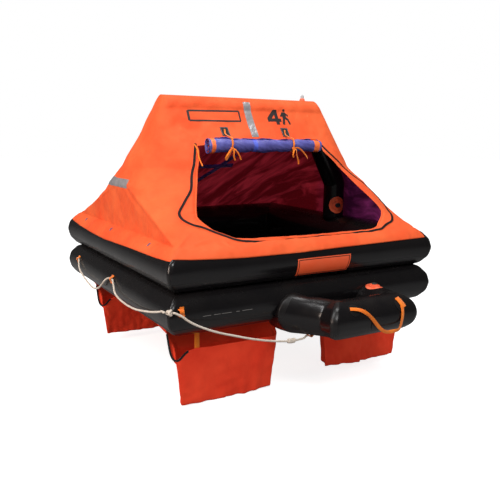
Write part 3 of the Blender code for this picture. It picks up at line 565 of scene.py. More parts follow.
# along the side, height, stand off the tube
FAR_SPAN = ((0.603, 0.096, 0.006), (0.575, 0.066, 0.012), (0.516, 0.036, 0.013), (0.400, 0.008, 0.013),
            (0.285, -0.006, 0.013), (0.180, 0.014, 0.013), (0.100, 0.056, 0.013), (0.050, 0.090, 0.011),
            (0.020, 0.106, 0.004))
NEAR_SPAN = ((-0.074, 0.106, 0.005), (-0.106, 0.080, 0.011), (-0.126, 0.054, 0.013), (-0.190, 0.035, 0.013),
             (-0.322, 0.028, 0.013), (-0.464, 0.038, 0.013), (-0.640, 0.070, 0.013), (-0.740, 0.094, 0.012),
             (-0.800, 0.112, 0.012))
RIGHT_SPAN = NEAR_SPAN[:5] + ((-0.440, 0.046, 0.013), (-0.540, 0.078, 0.013), (-0.600, 0.106, 0.006))
SIDES = {"front": (0, -1), "back": (0, 1), "left": (-1, 0), "right": (1, 0)}


def hull_point(side, along, degrees, stand=0.0, centre_z=LOWER_Z):
    """Point and outward direction on a straight stretch of a buoyancy tube."""
    dx, dy = SIDES[side]
    c, s = math.cos(math.radians(degrees)), math.sin(math.radians(degrees))
    out, z = HALF_SIDE + (TUBE_R + stand) * c, centre_z + (TUBE_R + stand) * s
    return Vector((dx * out if dx else along, dy * out if dy else along, z)), Vector((dx * c, dy * c, s))


def hull_run(side, places, stands, centre_z=LOWER_Z):
    """Points and outward directions for rows of (along, degrees) and of stands."""
    pairs = [hull_point(side, y, degrees, stand, centre_z) for (y, degrees), stand in zip(places, stands)]
    return np.array(pairs).transpose(1, 0, 2)


def ramp_z(y):
    """Height of the ramp's centre line, which drops towards the front bar."""
    return RAMP_ROOT_Z + RAMP_SLOPE * (y + HALF_SIDE)


def leg_lean(y):
    """How far the ramp's left leg stands outwards, more and more from its corner to its root."""
    return (LEG_LEAN + CORNER_IN) * np.clip((y - RAMP_FRONT_Y - 0.015) / 0.170, 0, 1) ** 1.15 - CORNER_IN


def span_points(side, shape, start, end, shift=0.0, closing=None):
    """Points of one hanging stretch of the line, from loop to loop."""
    first, last = (hull_point(side, along, LOOP_ANGLE, LOOP_RISE)[0] for along in (start, end))
    dx, dy = SIDES[side]
    base = abs(first.x) if dx else abs(first.y)
    lead = Vector((0, 0.009, 0)) if dx else Vector((0.009, 0, 0))
    middle = [Vector((dx * (base + out), along + shift, z)) if dx else
              Vector((along + shift, dy * (base + out), z)) for along, z, out in shape]
    return [first, first - lead] + middle + ([last + lead, last] if closing is None else closing)


edge = LOOP_WIDE / 2 + 2 * GAP
knot_along = Vector((1, -1, 0)).normalized()
knot_in = [KNOT_AT - knot_along * (KNOT_HALF + 0.010), KNOT_AT - knot_along * (KNOT_HALF + GAP)]
knot_out = KNOT_AT + knot_along * (KNOT_HALF + GAP)
loop_low = ramp_z(RAMP_LOOP_Y) - RAMP_R * math.cos(math.pi / RAMP_SIDES) - GAP
leg_x = RAMP_LEFT_X - leg_lean(RAMP_LOOP_Y)
arrive = Vector((leg_x - LOOP_TALL / 2 - GAP, RAMP_LOOP_Y, loop_low - LOOP_RISE))
FRONT_POINTS = [knot_out, knot_out + knot_along * 0.009, (-0.802, -0.884, 0.100), (-0.770, -0.892, 0.074),
                (-0.720, -0.899, 0.044), (-0.630, -0.908, 0.004), (-0.520, -0.916, -0.032),
                (-0.410, -0.924, -0.064), (-0.300, -0.930, -0.088), (-0.205, -0.932, -0.101),
                (-0.130, -0.932, -0.099), arrive - Vector((0.012, 0, 0)), arrive]
ROUTES = {label: (side, span_points(side, *shape)) for label, side, *shape in (
    ("left_far", "left", FAR_SPAN, 0.640 - edge, -0.030 + edge),
    ("right_far", "right", FAR_SPAN, 0.640 - edge, -0.030 + edge),
    ("back_right", "back", FAR_SPAN, 0.640 - edge, -0.030 + edge),
    ("back_left", "back", FAR_SPAN, -0.030 - edge, -0.700 + edge, -0.670),
    ("right_near", "right", RIGHT_SPAN, -0.030 - edge, -0.640 + edge),
    ("left_near", "left", NEAR_SPAN, -0.030 - edge, 0.0, 0.0, knot_in))}
ROUTES["front"] = ("front", FRONT_POINTS)

# %% Rope surface
STRAND_TURN = 0.036     # length in which a strand goes once round
STRAND_DIP = 0.22       # depth of the grooves between strands, as a share of the radius


def laid_rope(name, route, facing):
    """Tube whose radius dips three times a turn, and whose section turns along the route.

    radius(a) = thick / 2 * (1 - dip * (1 - |cos(1.5 a)|) ** 1.5), with a measured from a line that
    winds once round in every STRAND_TURN of length.
    """
    length = path_length(route)
    path = smooth_path(route, int(length / 0.0018) + 2)
    around = circle(24)[None]
    wound = math.tau * np.linspace(0, length, len(path))[:, None] / STRAND_TURN
    lobes = np.abs(np.cos(1.5 * (around - wound)))
    radius = LINE_D / 2 * (1 - STRAND_DIP * (1 - lobes) ** 1.5)
    return carry(name, path, xyz(radius * np.cos(around), radius * np.sin(around)), facing)


wind = np.linspace(0, 1, 260)[:, None] * math.tau * 3.0
knot_frame = np.array([knot_along, (0, 0, 1), knot_along.cross(Vector((0, 0, 1)))])
swell = 0.0085 + 0.0035 * np.cos(wind / 3 * 2)
knot_path = np.array(KNOT_AT) + np.hstack([
    0.010 * np.cos(wind * 2 / 3), swell * np.cos(wind), swell * np.sin(wind)]) @ knot_frame
knot = dress(laid_rope("rope_knot", knot_path, (0.3, 0.2, 1)), rope_white, "white_rope", "line_knot")
for label, (side, points) in ROUTES.items():
    route = np.vstack([[points[0]], smooth_path(points[1:-1], 46), [points[-1]]])
    rope = laid_rope(f"rope_{label}", route, (*SIDES[side], 0.02))
    dress(rope, rope_white, "white_rope", f"grab_line_{label}")
    print(f"rope {label}: {path_length(route):.3f} m")

# %% [markdown]
# ## The buoyancy tubes
#
# Two black tubes lie on each other and press flat where they touch. Each is a round section
# carried round a square. Sweeping a circle along a curve would pinch inside the corners, so the
# tube is a stack of rounded squares instead: one for every angle of the section, with a corner
# radius that is small inside the bend and larger outside. Gas pressure keeps the skin smooth, so
# it gets only a millimetre of unevenness, and small tucks where the cloth turns the corner.

# %% Hull surface
CORNER_INSIDE, CORNER_OUTSIDE = 0.012, 0.030
CORNER_FULL = (0.009, 0.009, 0.005, 0.010)   # how far gas pressure pushes out each corner along both sides
CORNER_SHARE = 0.16       # part of each quarter of the way round that its corner takes
CORNER_LOW, CORNER_HIGH = (1 - CORNER_SHARE) / 2, (1 + CORNER_SHARE) / 2
TUCK_HIGH, TUCKS, UNEVEN = 0.0022, 14, 0.0009


def corner_radius(angle):
    """Plan radius of a corner: small inside the bend, growing to its full size outside."""
    return CORNER_INSIDE + (CORNER_OUTSIDE - CORNER_INSIDE) * ((1 + np.cos(angle)) / 2) ** 2


def round_square(turn, half, radius):
    """Point at turn (0 to 4, one for each side) on a square with round corners.

    Side 0 is right, 1 back, 2 left and 3 front. A whole turn is the middle of a side and the
    corners lie halfway between.
    """
    turn = np.asarray(turn) % 4
    quarter = np.floor(turn)
    t = turn - quarter
    flat = half - radius
    bend = np.clip((t - CORNER_LOW) / CORNER_SHARE, 0, 1) * math.pi / 2
    x = np.where(t < CORNER_LOW, half, flat + radius * np.cos(bend))
    y = np.where(t < CORNER_LOW, flat * t / CORNER_LOW, flat + radius * np.sin(bend))
    x = np.where(t > CORNER_HIGH, flat * (1 - t) / CORNER_LOW, x)
    y = np.where(t > CORNER_HIGH, half, y)
    c, s = np.cos(quarter * math.pi / 2), np.sin(quarter * math.pi / 2)
    return x * c - y * s, x * s + y * c


def hull_surface(turn, angle, centre_z, pressed, lift=0.0):
    """Point on a buoyancy tube: turn goes round the raft and angle round the section.

    pressed is 1 where the top is pressed flat, -1 for the bottom.
    """
    turn, angle = np.broadcast_arrays(turn, angle)
    near_corner = np.abs(turn % 1 - 0.5)
    tuck = TUCK_HIGH * np.exp(-(near_corner / 0.09) ** 2) * np.cos(angle * TUCKS) * (1 - 0.7 * np.cos(angle))
    reach = TUBE_R + lift + tuck + UNEVEN * ripple(turn * 1.5, angle * TUBE_R, 0.28, 5)
    x, y = round_square(turn, HALF_SIDE + reach * np.cos(angle), corner_radius(angle) + lift)
    full = np.take(CORNER_FULL, np.floor(turn).astype(int) % 4) * np.exp(-(near_corner / 0.10) ** 2)
    full = full * ((1 + np.cos(angle)) / 2) ** 2
    flat = TUBE_FLAT - GAP + (lift if lift > 0.002 else 0.0)
    rise = pressed * np.minimum(pressed * reach * np.sin(angle), flat)
    return xyz(x + full * np.sign(x), y + full * np.sign(y), centre_z + rise)


def turns_around(straight, bend):
    """Positions round the raft, evenly spread over straights and corners."""
    stops = ((0, CORNER_LOW, straight), (CORNER_LOW, CORNER_HIGH, bend), (CORNER_HIGH, 1, straight))
    one = np.concatenate([np.linspace(*stop, endpoint=False) for stop in stops])
    return np.concatenate([one + k for k in range(4)])


UPPER, LOWER = (UPPER_Z, -1), (LOWER_Z, 1)
for label, place in (("lower_tube", LOWER), ("upper_tube", UPPER)):
    grid = hull_surface(turns_around(30, 22)[:, None], circle(76)[None], *place)
    tube = skin(f"hull_{label}", grid, wrap=(True, True))
    print(label, "holds", round(turn_outwards(tube), 4), "m3 of gas")
    dress(tube, hull_black, "tube_rubber", label)

# %% [markdown]
# Seams are lapped and covered with tape. A tape is a patch of the same surface, lifted by less
# than a millimetre and closed at its edges, so it follows every bend of the tube by itself.

# %% Seam tapes
def surface_patch(name, surface, turns, degrees, fineness, lift):
    """Closed patch on surface(turn, angle, lift) between two turns and two section angles.

    fineness is the number of rows and the degrees from one column to the next.
    """
    rows, step = fineness
    columns = max(int(abs(degrees[1] - degrees[0]) / step), 6)
    u, a = np.linspace(*turns, rows)[:, None], np.radians(np.linspace(*degrees, columns))[None]
    top = surface(u, a, lift)
    return patch(name, top, top - surface(u, a, -0.001))


def hull_patch(name, turns, degrees, tube, lift, *looks):
    """Closed patch on a buoyancy tube between two turns round the raft and two section angles."""
    rows = max(int(abs(turns[1] - turns[0]) * 90), 6)

    def surface(turn, angle, stand):
        return hull_surface(turn, angle, *tube, stand)
    dress(surface_patch(name, surface, turns, degrees, (rows, 4), lift), *looks)


for k, label in enumerate(("right_back", "left_back", "left_front", "right_front")):
    for tube, place, low in (("upper", UPPER, -60), ("lower", LOWER, -150)):
        hull_patch(f"mitre_tape_{tube}_{label}", (k + 0.492, k + 0.508), (low, low + 210), place, 0.0007,
                   seam_black, "tube_rubber")
for tube, place, low in (("upper", UPPER, -38), ("lower", LOWER, -46)):
    hull_patch(f"side_seam_{tube}", (0.02, 4.0), (low, low + 13), place, 0.0006, seam_black, "tube_rubber")

# %% [markdown]
# ## The canopy
#
# One sheet of coated cloth is drawn over the arch and glued down on the upper tube. It leaves
# the tube upright, passes the arch's knees, leans in and closes over the level top. A simulated
# drape would drift from the frame, while a stack of round-cornered rows keeps to it: each row
# has a half length, a half depth and a corner radius that follow the CAD model's own rules.

# %% Canopy rules
SEAT_ANGLE = math.radians(67.5)
SEAT_REACH = HALF_SIDE + (TUBE_R + HEM_LIFT) * math.cos(SEAT_ANGLE)
SEAT_Z = UPPER_Z + (TUBE_R + HEM_LIFT) * math.sin(SEAT_ANGLE)
RIDGE_R = ARCH_R * 1.035 + 0.004
RIDGE_Z = ARCH_TOP_Z + RIDGE_R
CANOPY_SAG, HIP_FULL, HIP_POWER, HIP_LOW_R = 0.059, 0.514, 1.066, 0.021
KNEE_CLEAR = ARCH_R + HEM_LIFT + 0.006


def side_reach(z, side):
    """How far out the cloth reaches on the left (-1) or right (1): upright, then leaning in."""
    lean = (ARCH_FOOT_X - ARCH_TOP_X - side * ARCH_SHIFT_X) / (ARCH_TOP_Z - ARCH_KNEE_Z)
    return np.minimum(SEAT_REACH, ARCH_FOOT_X + KNEE_CLEAR * math.hypot(1, lean) - lean * (z - ARCH_KNEE_Z))


def row_at(z):
    """Half length, half depth, corner radius and middle (x, y) of the canopy's row at height z."""
    z = np.asarray(z, float)
    t = np.clip((z - SEAT_Z) / (ARCH_TOP_Z - SEAT_Z), 0, 1)
    left, right_side = side_reach(z, -1), side_reach(z, 1)
    panel = SEAT_REACH + (RIDGE_R - SEAT_REACH) * t - CANOPY_SAG * 4 * t * (1 - t)
    over = np.sqrt(np.maximum(RIDGE_R ** 2 - (z - ARCH_TOP_Z) ** 2, 0.0))
    depth = np.where(z > ARCH_TOP_Z, over, panel)
    full = (0.97 - 0.42 * t ** 4) * panel
    corner = HIP_LOW_R + (full - HIP_LOW_R) * np.minimum(t / HIP_FULL, 1.0) ** HIP_POWER
    corner = np.where(z > ARCH_TOP_Z, 0.55 * depth, corner)
    return (left + right_side) / 2, depth, corner, (right_side - left) / 2, ARCH_Y * t


def outline_row(a, b, r, cx, cy):
    """One row as points: front, right, back and left side, each with the corner after it."""
    bend = np.linspace(0, math.pi / 2, 20)[1:-1]
    parts = []
    sides = ((150, a, b, 1, 0), (44, b, a, 0, 1), (70, a, b, -1, 0), (44, b, a, 0, -1))
    for count, half, deep, c, s in sides:
        along = np.append(np.linspace(r - half, half - r, count), half - r + r * np.sin(bend))
        out = np.append(np.full(count, deep), deep - r + r * np.cos(bend))
        parts.append(xyz(c * along + s * out, s * along - c * out))
    return np.concatenate(parts) + (cx, cy)


# place along the front or side, and the hem's angle on the tube there
HEM_FRONT = ((-0.84, 37), (-0.795, 37), (-0.68, 31), (-0.55, 27), (-0.41, 24), (-0.10, 23), (0.16, 26),
             (0.455, 28), (0.77, 31), (0.84, 33))
HEM_SIDE = ((-0.84, 33), (-0.72, 29), (-0.60, 26), (-0.29, 23), (0.08, 17), (0.31, 19), (0.545, 24),
            (0.71, 30), (0.85, 38))
HEM_ROWS, PANEL_ROWS, CAP_ROWS = 12, 84, 12

# %% Canopy rows
heights = np.append(np.linspace(SEAT_Z, ARCH_TOP_Z, PANEL_ROWS + 1),
                    ARCH_TOP_Z + RIDGE_R * np.sin(np.linspace(0, math.pi / 2, CAP_ROWS + 1)[1:]))
panel_rows = [np.insert(outline_row(*row_at(z)), 2, z, axis=1) for z in heights]
seat = panel_rows[0][:, :2]
low_angle = np.where(np.abs(seat[:, 0]) > np.abs(seat[:, 1]), np.interp(seat[:, 1], *np.transpose(HEM_SIDE)),
                     np.interp(seat[:, 0], *np.transpose(HEM_FRONT)))
seat_flat = SEAT_REACH - HIP_LOW_R
on_flat = np.clip(seat, -seat_flat, seat_flat)
off_flat = unit(seat - on_flat)


def hem_row(share):
    """Row of cloth glued on the tube, from the scalloped hem (0) up to the seat (1)."""
    angle = np.radians(low_angle + (67.5 - low_angle) * share)
    reach = TUBE_R + HEM_LIFT
    radius = corner_radius(angle) + 0.004
    flat = HALF_SIDE + reach * np.cos(angle) - radius
    plan = on_flat * (flat / seat_flat)[:, None] + off_flat * radius[:, None]
    return np.column_stack([plan, UPPER_Z + reach * np.sin(angle)])


canopy_grid = np.stack([hem_row(share) for share in np.linspace(0, 1, HEM_ROWS, endpoint=False)] + panel_rows)
print("canopy grid", canopy_grid.shape)

# %% [markdown]
# Cloth is never a perfect surface. Its slack is one function of place that every piece on the
# canopy shares, so that zip, tapes and marks follow the same folds: a slow unevenness, puckers
# above the glued hem, creases where the side panels start and pulls that fan out of the corners.

# %% Slack of the cloth
# Each crease in millimetres: from x y z, to x y z, height, width.
CREASES = np.array((
    (-775, -100, 670, -800, -800, 395, 10.0, 12), (-775, -50, 650, -810, -560, 395, 5.0, 12),
    (-770, 50, 700, -560, -240, 900, 4.0, 12), (-640, -330, 800, -720, 300, 760, 15.0, 85),
    (-690, -560, 530, -790, -330, 640, 4.5, 10), (-560, -480, 680, -700, -330, 760, 3.5, 12),
    (778, -170, 670, 800, -800, 395, 5.0, 10), (-775, 20, 670, -800, 800, 395, 5.0, 10),
    (778, 20, 670, 800, 800, 395, 5.0, 10), (-620, -660, 480, -790, -790, 400, 6.0, 10),
    (-640, -600, 560, -790, -770, 410, 5.0, 9), (-560, -500, 660, -700, -640, 520, 4.0, 9),
    (-530, -740, 440, -740, -790, 405, 5.0, 8), (-450, -330, 860, -560, -380, 780, 3.5, 10),
    (610, -400, 690, 700, -560, 540, 4.0, 10), (690, -640, 480, 790, -780, 405, 5.0, 10),
    (-660, -600, 560, -780, -500, 560, 3.0, 14), (-500, -280, 930, -620, -280, 860, 2.5, 16),
    (150, -790, 420, 420, -800, 400, 3.5, 8), (260, -800, 400, 560, -790, 418, 3.0, 7),
    (480, -720, 440, 700, -760, 410, 3.5, 10), (500, -300, 930, 640, -300, 780, 2.5, 14),
    (-400, -240, 960, -250, -200, 1020, 1.5, 14), (300, -240, 950, 380, -180, 1040, 1.5, 12))) / 1000


def slack(at):
    """How far the cloth stands off its rule at each point: noise, puckers and ridges.

    A ridge is height * exp(-(d / width) ** 2) * sin(pi s) ** 0.5, with d the distance to its line
    and s the place along it.
    """
    x, y, z = np.moveaxis(at, -1, 0)
    free = np.clip((z - SEAT_Z + 0.03) / 0.08, 0, 1) * np.clip((ARCH_TOP_Z + 0.02 - z) / 0.12, 0, 1)
    free = free * (0.25 + 0.75 * np.clip(np.abs(y - ARCH_Y) / 0.20, 0, 1))
    along = np.where(np.abs(x) > np.abs(y), y, x)
    slow = 0.0048 * ripple(x - 0.7 * y, z * 1.1, 0.26, 11)
    off = free * (slow + 0.0026 * ripple(x * 1.2 + y, z * 0.6, 0.09, 12))
    off = off + np.exp(-((z - 0.412) / 0.030) ** 2) * 0.0026 * (1 + ripple(along, z * 0.3, 0.07, 13))
    for crease in CREASES:
        start, line, (height, width) = crease[:3], crease[3:6] - crease[:3], crease[6:]
        share = np.clip((at - start) @ line / (line @ line), 0, 1)
        gap = np.linalg.norm(at - start - share[..., None] * line, axis=-1)
        off = off + height * np.exp(-(gap / width) ** 2) * np.sin(math.pi * np.clip(share, 0.02, 0.98)) ** 0.5
    return off


def front_y(x, z):
    """Y of the front panel's rule at x and z, round its corners too."""
    a, b, r, cx, cy = row_at(z)
    return cy - (b - r) - np.sqrt(r ** 2 - np.clip(np.abs(x - cx) - (a - r), 0, r) ** 2)


def side_x(side, y, z):
    """X of a side panel's rule at y and z; side is -1 left, 1 right."""
    a, b, r, cx, cy = row_at(z)
    return cx + side * (a - r + np.sqrt(r ** 2 - np.clip(np.abs(y - cy) - (b - r), 0, r) ** 2))


def slopes(rule, u, v, step=0.004):
    """How steeply a rule of two values rises along each of them."""
    return ((rule(u + step, v) - rule(u - step, v)) / (2 * step),
            (rule(u, v + step) - rule(u, v - step)) / (2 * step))


def on_front(x, z, lift=0.0):
    """Points on the dressed front panel, lifted off it, and their outward directions."""
    x, z = np.broadcast_arrays(np.asarray(x, float), np.asarray(z, float))
    along, upward = slopes(front_y, x, z)
    out = unit(xyz(along, -1.0, upward))
    at = xyz(x, front_y(x, z), z)
    return at + out * (slack(at) + lift)[..., None], out


def on_side(side, y, z, lift=0.0):
    """The same on a side panel."""
    along, upward = slopes(lambda u, v: side_x(side, u, v), y, z)
    out = side * unit(xyz(1.0, -along, -upward))
    at = xyz(side_x(side, y, z), y, z)
    return at + out * (slack(at) + lift)[..., None], out


print("front panel at mid height:", np.round(on_front(0.0, 0.7)[0], 3))

# %% [markdown]
# The doorway is cut out of the grid: faces inside its outline go, and the points left on the
# rim move on to the outline itself, so the edge is smooth with no boolean. Solidify then gives
# the sheet its inner side, which carries the dark lining.

# %% Doorway outline
# x and z round the doorway, in millimetres
DOOR_EDGE = ((-440, 884), (-439, 847), (-502, 714), (-551, 625), (-594, 548), (-600, 520), (-572, 486),
             (-536, 459), (-447, 425), (-300, 417), (-100, 413), (100, 412), (300, 413), (474, 419),
             (543, 449), (601, 485), (617, 518), (585, 600), (528, 721), (428, 844), (425, 884), (200, 886),
             (-200, 886))


def smooth_outline(corners, count):
    """Evenly spaced (x, z) points on the curve through corners given in millimetres."""
    return smooth_path([(x / 1000, 0.0, z / 1000) for x, z in corners], count)[:, (0, 2)]


def inside(points, outline):
    """Whether each (x, z) point lies in a closed outline, by counting crossings to its right."""
    x, z = points[..., 0, None], points[..., 1, None]
    (x0, z0), (x1, z1) = outline.T, np.roll(outline, -1, 0).T
    at = x0 + (z - z0) * (x1 - x0) / np.where(z1 == z0, 1e-12, z1 - z0)
    return (((z0 > z) != (z1 > z)) & (x < at)).sum(-1) % 2 == 1


# %% Canopy sheet with its doorway
door_ring = smooth_outline(DOOR_EDGE + DOOR_EDGE[:1], 500)[:-1]
rows, columns = canopy_grid.shape[:2]
wrapped = np.concatenate([canopy_grid, canopy_grid[:, :1]], 1)
centre_of = (wrapped[:-1, :-1] + wrapped[1:, :-1] + wrapped[:-1, 1:] + wrapped[1:, 1:]) / 4
gone = (centre_of[..., 1] < -0.2) & inside(centre_of[..., (0, 2)], door_ring)
touched = np.zeros((rows, columns), int)
for di, dj in ((0, 0), (0, 1), (1, 0), (1, 1)):
    np.add.at(touched, (np.arange(rows - 1)[:, None] + di, (np.arange(columns)[None] + dj) % columns), gone)
rim = (touched > 0) & (touched < 4)
nearest = np.argmin(((canopy_grid[rim][:, None][..., (0, 2)] - door_ring[None]) ** 2).sum(-1), 1)
rim_x, rim_z = door_ring[nearest].T
canopy_grid[rim] = xyz(rim_x, front_y(rim_x, rim_z), rim_z)
step_up = np.gradient(canopy_grid, axis=0)
step_up[-1] = step_up[-2]
outward = unit(np.cross(np.roll(canopy_grid, -1, 1) - np.roll(canopy_grid, 1, 1), step_up))
outward[-1] = (0, 0, 1)
canopy_grid = canopy_grid + outward * slack(canopy_grid)[..., None]
canopy_grid[-1, :, 1] = ARCH_Y

# %% Canopy piece
CLOTH_THICK = 0.0012
canopy = skin("canopy_sheet", canopy_grid, wrap=(False, True))
cut = bmesh.new()
cut.from_mesh(canopy.data)
cut.faces.ensure_lookup_table()
bmesh.ops.delete(cut, geom=[cut.faces[k] for k in np.flatnonzero(gone.ravel())], context="FACES")
bmesh.ops.remove_doubles(cut, verts=cut.verts, dist=0.0002)
cut.to_mesh(canopy.data)
cut_area = sum(face.calc_area() for face in cut.faces)
cut.free()
canopy.data.shade_smooth()
wall = canopy.modifiers.new("cloth", "SOLIDIFY")
wall.thickness, wall.offset, wall.material_offset, wall.material_offset_rim = CLOTH_THICK, -1.0, 1, 0
dress(canopy, orange_cloth, "canopy_cloth", "canopy")
canopy.data.materials.append(lining)
print("canopy cloth area", round(cut_area, 3), "m2")

# %% [markdown]
# ## The doorway
#
# A black zip runs round the opening a hand's width outside it, so the door can be closed. A
# carried section follows the curved cloth exactly: a strip of tape, the chain of teeth and a
# soft binding on the cut edge. The teeth's pattern is a sine of the distance along them.

# %% Zip and binding
ZIP_LINE = ((-441, 894), (-493, 779), (-535, 702), (-581, 634), (-623, 593), (-662, 558), (-678, 538),
            (-676, 516), (-643, 497), (-594, 480), (-533, 453), (-451, 420), (-320, 402), (-192, 399),
            (-12, 402), (213, 403), (440, 409), (545, 420), (640, 452), (684, 500), (694, 560), (684, 615),
            (652, 662), (601, 703), (501, 797), (420, 894))
zip_curve = smooth_outline(ZIP_LINE, 560)
zip_curve += 0.0035 * xyz(*(ripple(np.arange(560) / 70, y, 0.5, seed) for y, seed in ((0.0, 81), (0.3, 82))))
zip_black, tree, place, laid = start_finish("zip_black", Roughness=0.6, Specular_IOR_Level=0.12)
teeth = effect(tree, "weave", Vector=laid, Thread=0.003)[0]
# Painted shade and highlight: the colour is darker between the teeth and lighter on their tops.
feed(tree, Base_Color=blend(tree, ranged(tree, teeth, -1.0), (0.006, 0.005, 0.006), (0.020, 0.016, 0.017)),
     Normal=bumps(tree, (teeth, 0.0006)))
zip_at, zip_out = on_front(*zip_curve.T, 0.0004)
dress(strap("zip_tape", zip_at, 0.024, 0.0012, zip_out), orange_cloth, "canopy_cloth")
teeth_at = on_front(*zip_curve.T, 0.0018)[0]
dress(strap("zip_teeth", teeth_at, 0.0140, 0.0030, zip_out), zip_black, "black_webbing")
edge_at, edge_out = on_front(*door_ring.T, -CLOTH_THICK / 2)
turn = circle(12)
section = xyz(0.0050 * np.cos(turn), 0.0022 * np.sin(turn))
dress(carry("door_binding", edge_at, section, edge_out, loop=True), orange_cloth, "canopy_cloth")
print("zip length", round(path_length(zip_at), 2), "m")

# %% [markdown]
# ## The rolled door
#
# The door is rolled up from its lower end and tied under the top of the opening. It is a real
# roll: one long sheet wound in a spiral of four turns, squeezed at its ties, sagging a little
# between them, with dents in its outer turn. From the ends the turns show as a spiral.

# %% Door roll
ROLL_R, ROLL_HALF, ROLL_Y, ROLL_Z = 0.039, 0.385, -0.3443, LOWER_Z + 0.806
TIE_LEFT_X, TIE_RIGHT_X = -0.232, 0.185
ROLL_TURNS, ROLL_CORE = 4.2, 0.009


def roll_size(x):
    """How full the roll is there, and its radius as a share of ROLL_R: less at the ties."""
    near = np.exp(-((x - TIE_LEFT_X) / 0.028) ** 2) + np.exp(-((x - TIE_RIGHT_X) / 0.028) ** 2)
    squeeze = 1 - 0.13 * near - 0.04 * np.exp(-((np.abs(x) - ROLL_HALF) / 0.03) ** 2)
    return 1.12 - 0.22 * x, squeeze * (1.12 - 0.22 * x)


def roll_drop(x):
    """Sag of the roll between its ties and beyond them, in metres."""
    span = (x - TIE_LEFT_X) / (TIE_RIGHT_X - TIE_LEFT_X)
    between = np.where((span > 0) & (span < 1), 4 * span * (1 - span), 0.0)
    return 0.004 * between + 0.012 * np.clip(np.abs(span - 0.5) - 0.5, 0, None) ** 1.3


# %% Rolled sheet
roll_x, wind = net((-ROLL_HALF - 0.010, ROLL_HALF - 0.014, 150), (0, ROLL_TURNS * math.tau, 150))
inward = wind / wind.max()
radius = (ROLL_R - 0.0008) * (1 - inward) + ROLL_CORE * inward
dents = 0.0042 * ripple(roll_x + 0.02 * wind, wind * 0.045, 0.11, 21)
dents = dents + 0.0020 * ripple(roll_x + 0.03 * wind, wind * 0.04, 0.035, 23)
fuller, size = roll_size(roll_x)
radius = (radius + dents * (1 - 0.5 * inward) - 0.0022 * (1 - inward)) * size
angle = math.radians(75) - wind
grid = xyz(roll_x + 0.003 * ripple(roll_x, wind * 0.03, 0.2, 22),
           ROLL_Y - ROLL_R * (fuller - 1) + radius * np.cos(angle) * np.where(np.cos(angle) > 0, 0.97, 1.0),
           ROLL_Z - roll_drop(roll_x) + radius * np.sin(angle))
roll = skin("door_roll_sheet", grid, wall=0.0010, centre=0.0)
roll_cloth = cloth("roll_violet", (0.105, 0.105, 0.40), (0.060, 0.055, 0.26), 0.45, 0.10, 0.030, 0.008,
                   Coat_Weight=0.15, Coat_Roughness=0.35)
tree = roll_cloth.node_tree
tint = tree.nodes["Principled BSDF"].inputs["Base Color"].links[0].from_socket
across = apart(tree, node(tree, "ShaderNodeTexCoord").outputs["Object"], "X")
for middle, half, shade in ((-0.372, 0.013, (0.90, 0.16, 0.03)), (0.338, 0.020, (0.90, 0.16, 0.03)),
                            (-0.100, 0.013, (0.065, 0.100, 0.55))):
    tint = blend(tree, calc(tree, "COMPARE", across, middle, half), tint, shade)
feed(tree, Base_Color=tint)
dress(roll, roll_cloth, "roll_cloth", "door_roll")

# %% [markdown]
# Two narrow orange ribbons hold the roll. Each hangs from a stitched black patch, passes over the
# roll, closes round it and ends in a knot with a loop and two tails. Ribbon is flat and springy,
# so its tails twist: the direction its face looks in changes along the way.

# %% Ties
TIE_PATCH_Z, TIE_HALF = LOWER_Z + 0.880, 0.026


def ribbon(name, points, width, facings, count=70):
    """Flat ribbon along a smooth path; its face turns evenly through the facings given."""
    t = np.linspace(0, len(facings) - 1, count)
    face = np.stack([np.interp(t, np.arange(len(facings)), axis) for axis in np.array(facings, float).T], 1)
    return strap(name, smooth_path(points, count), width, 0.0011, unit(face))


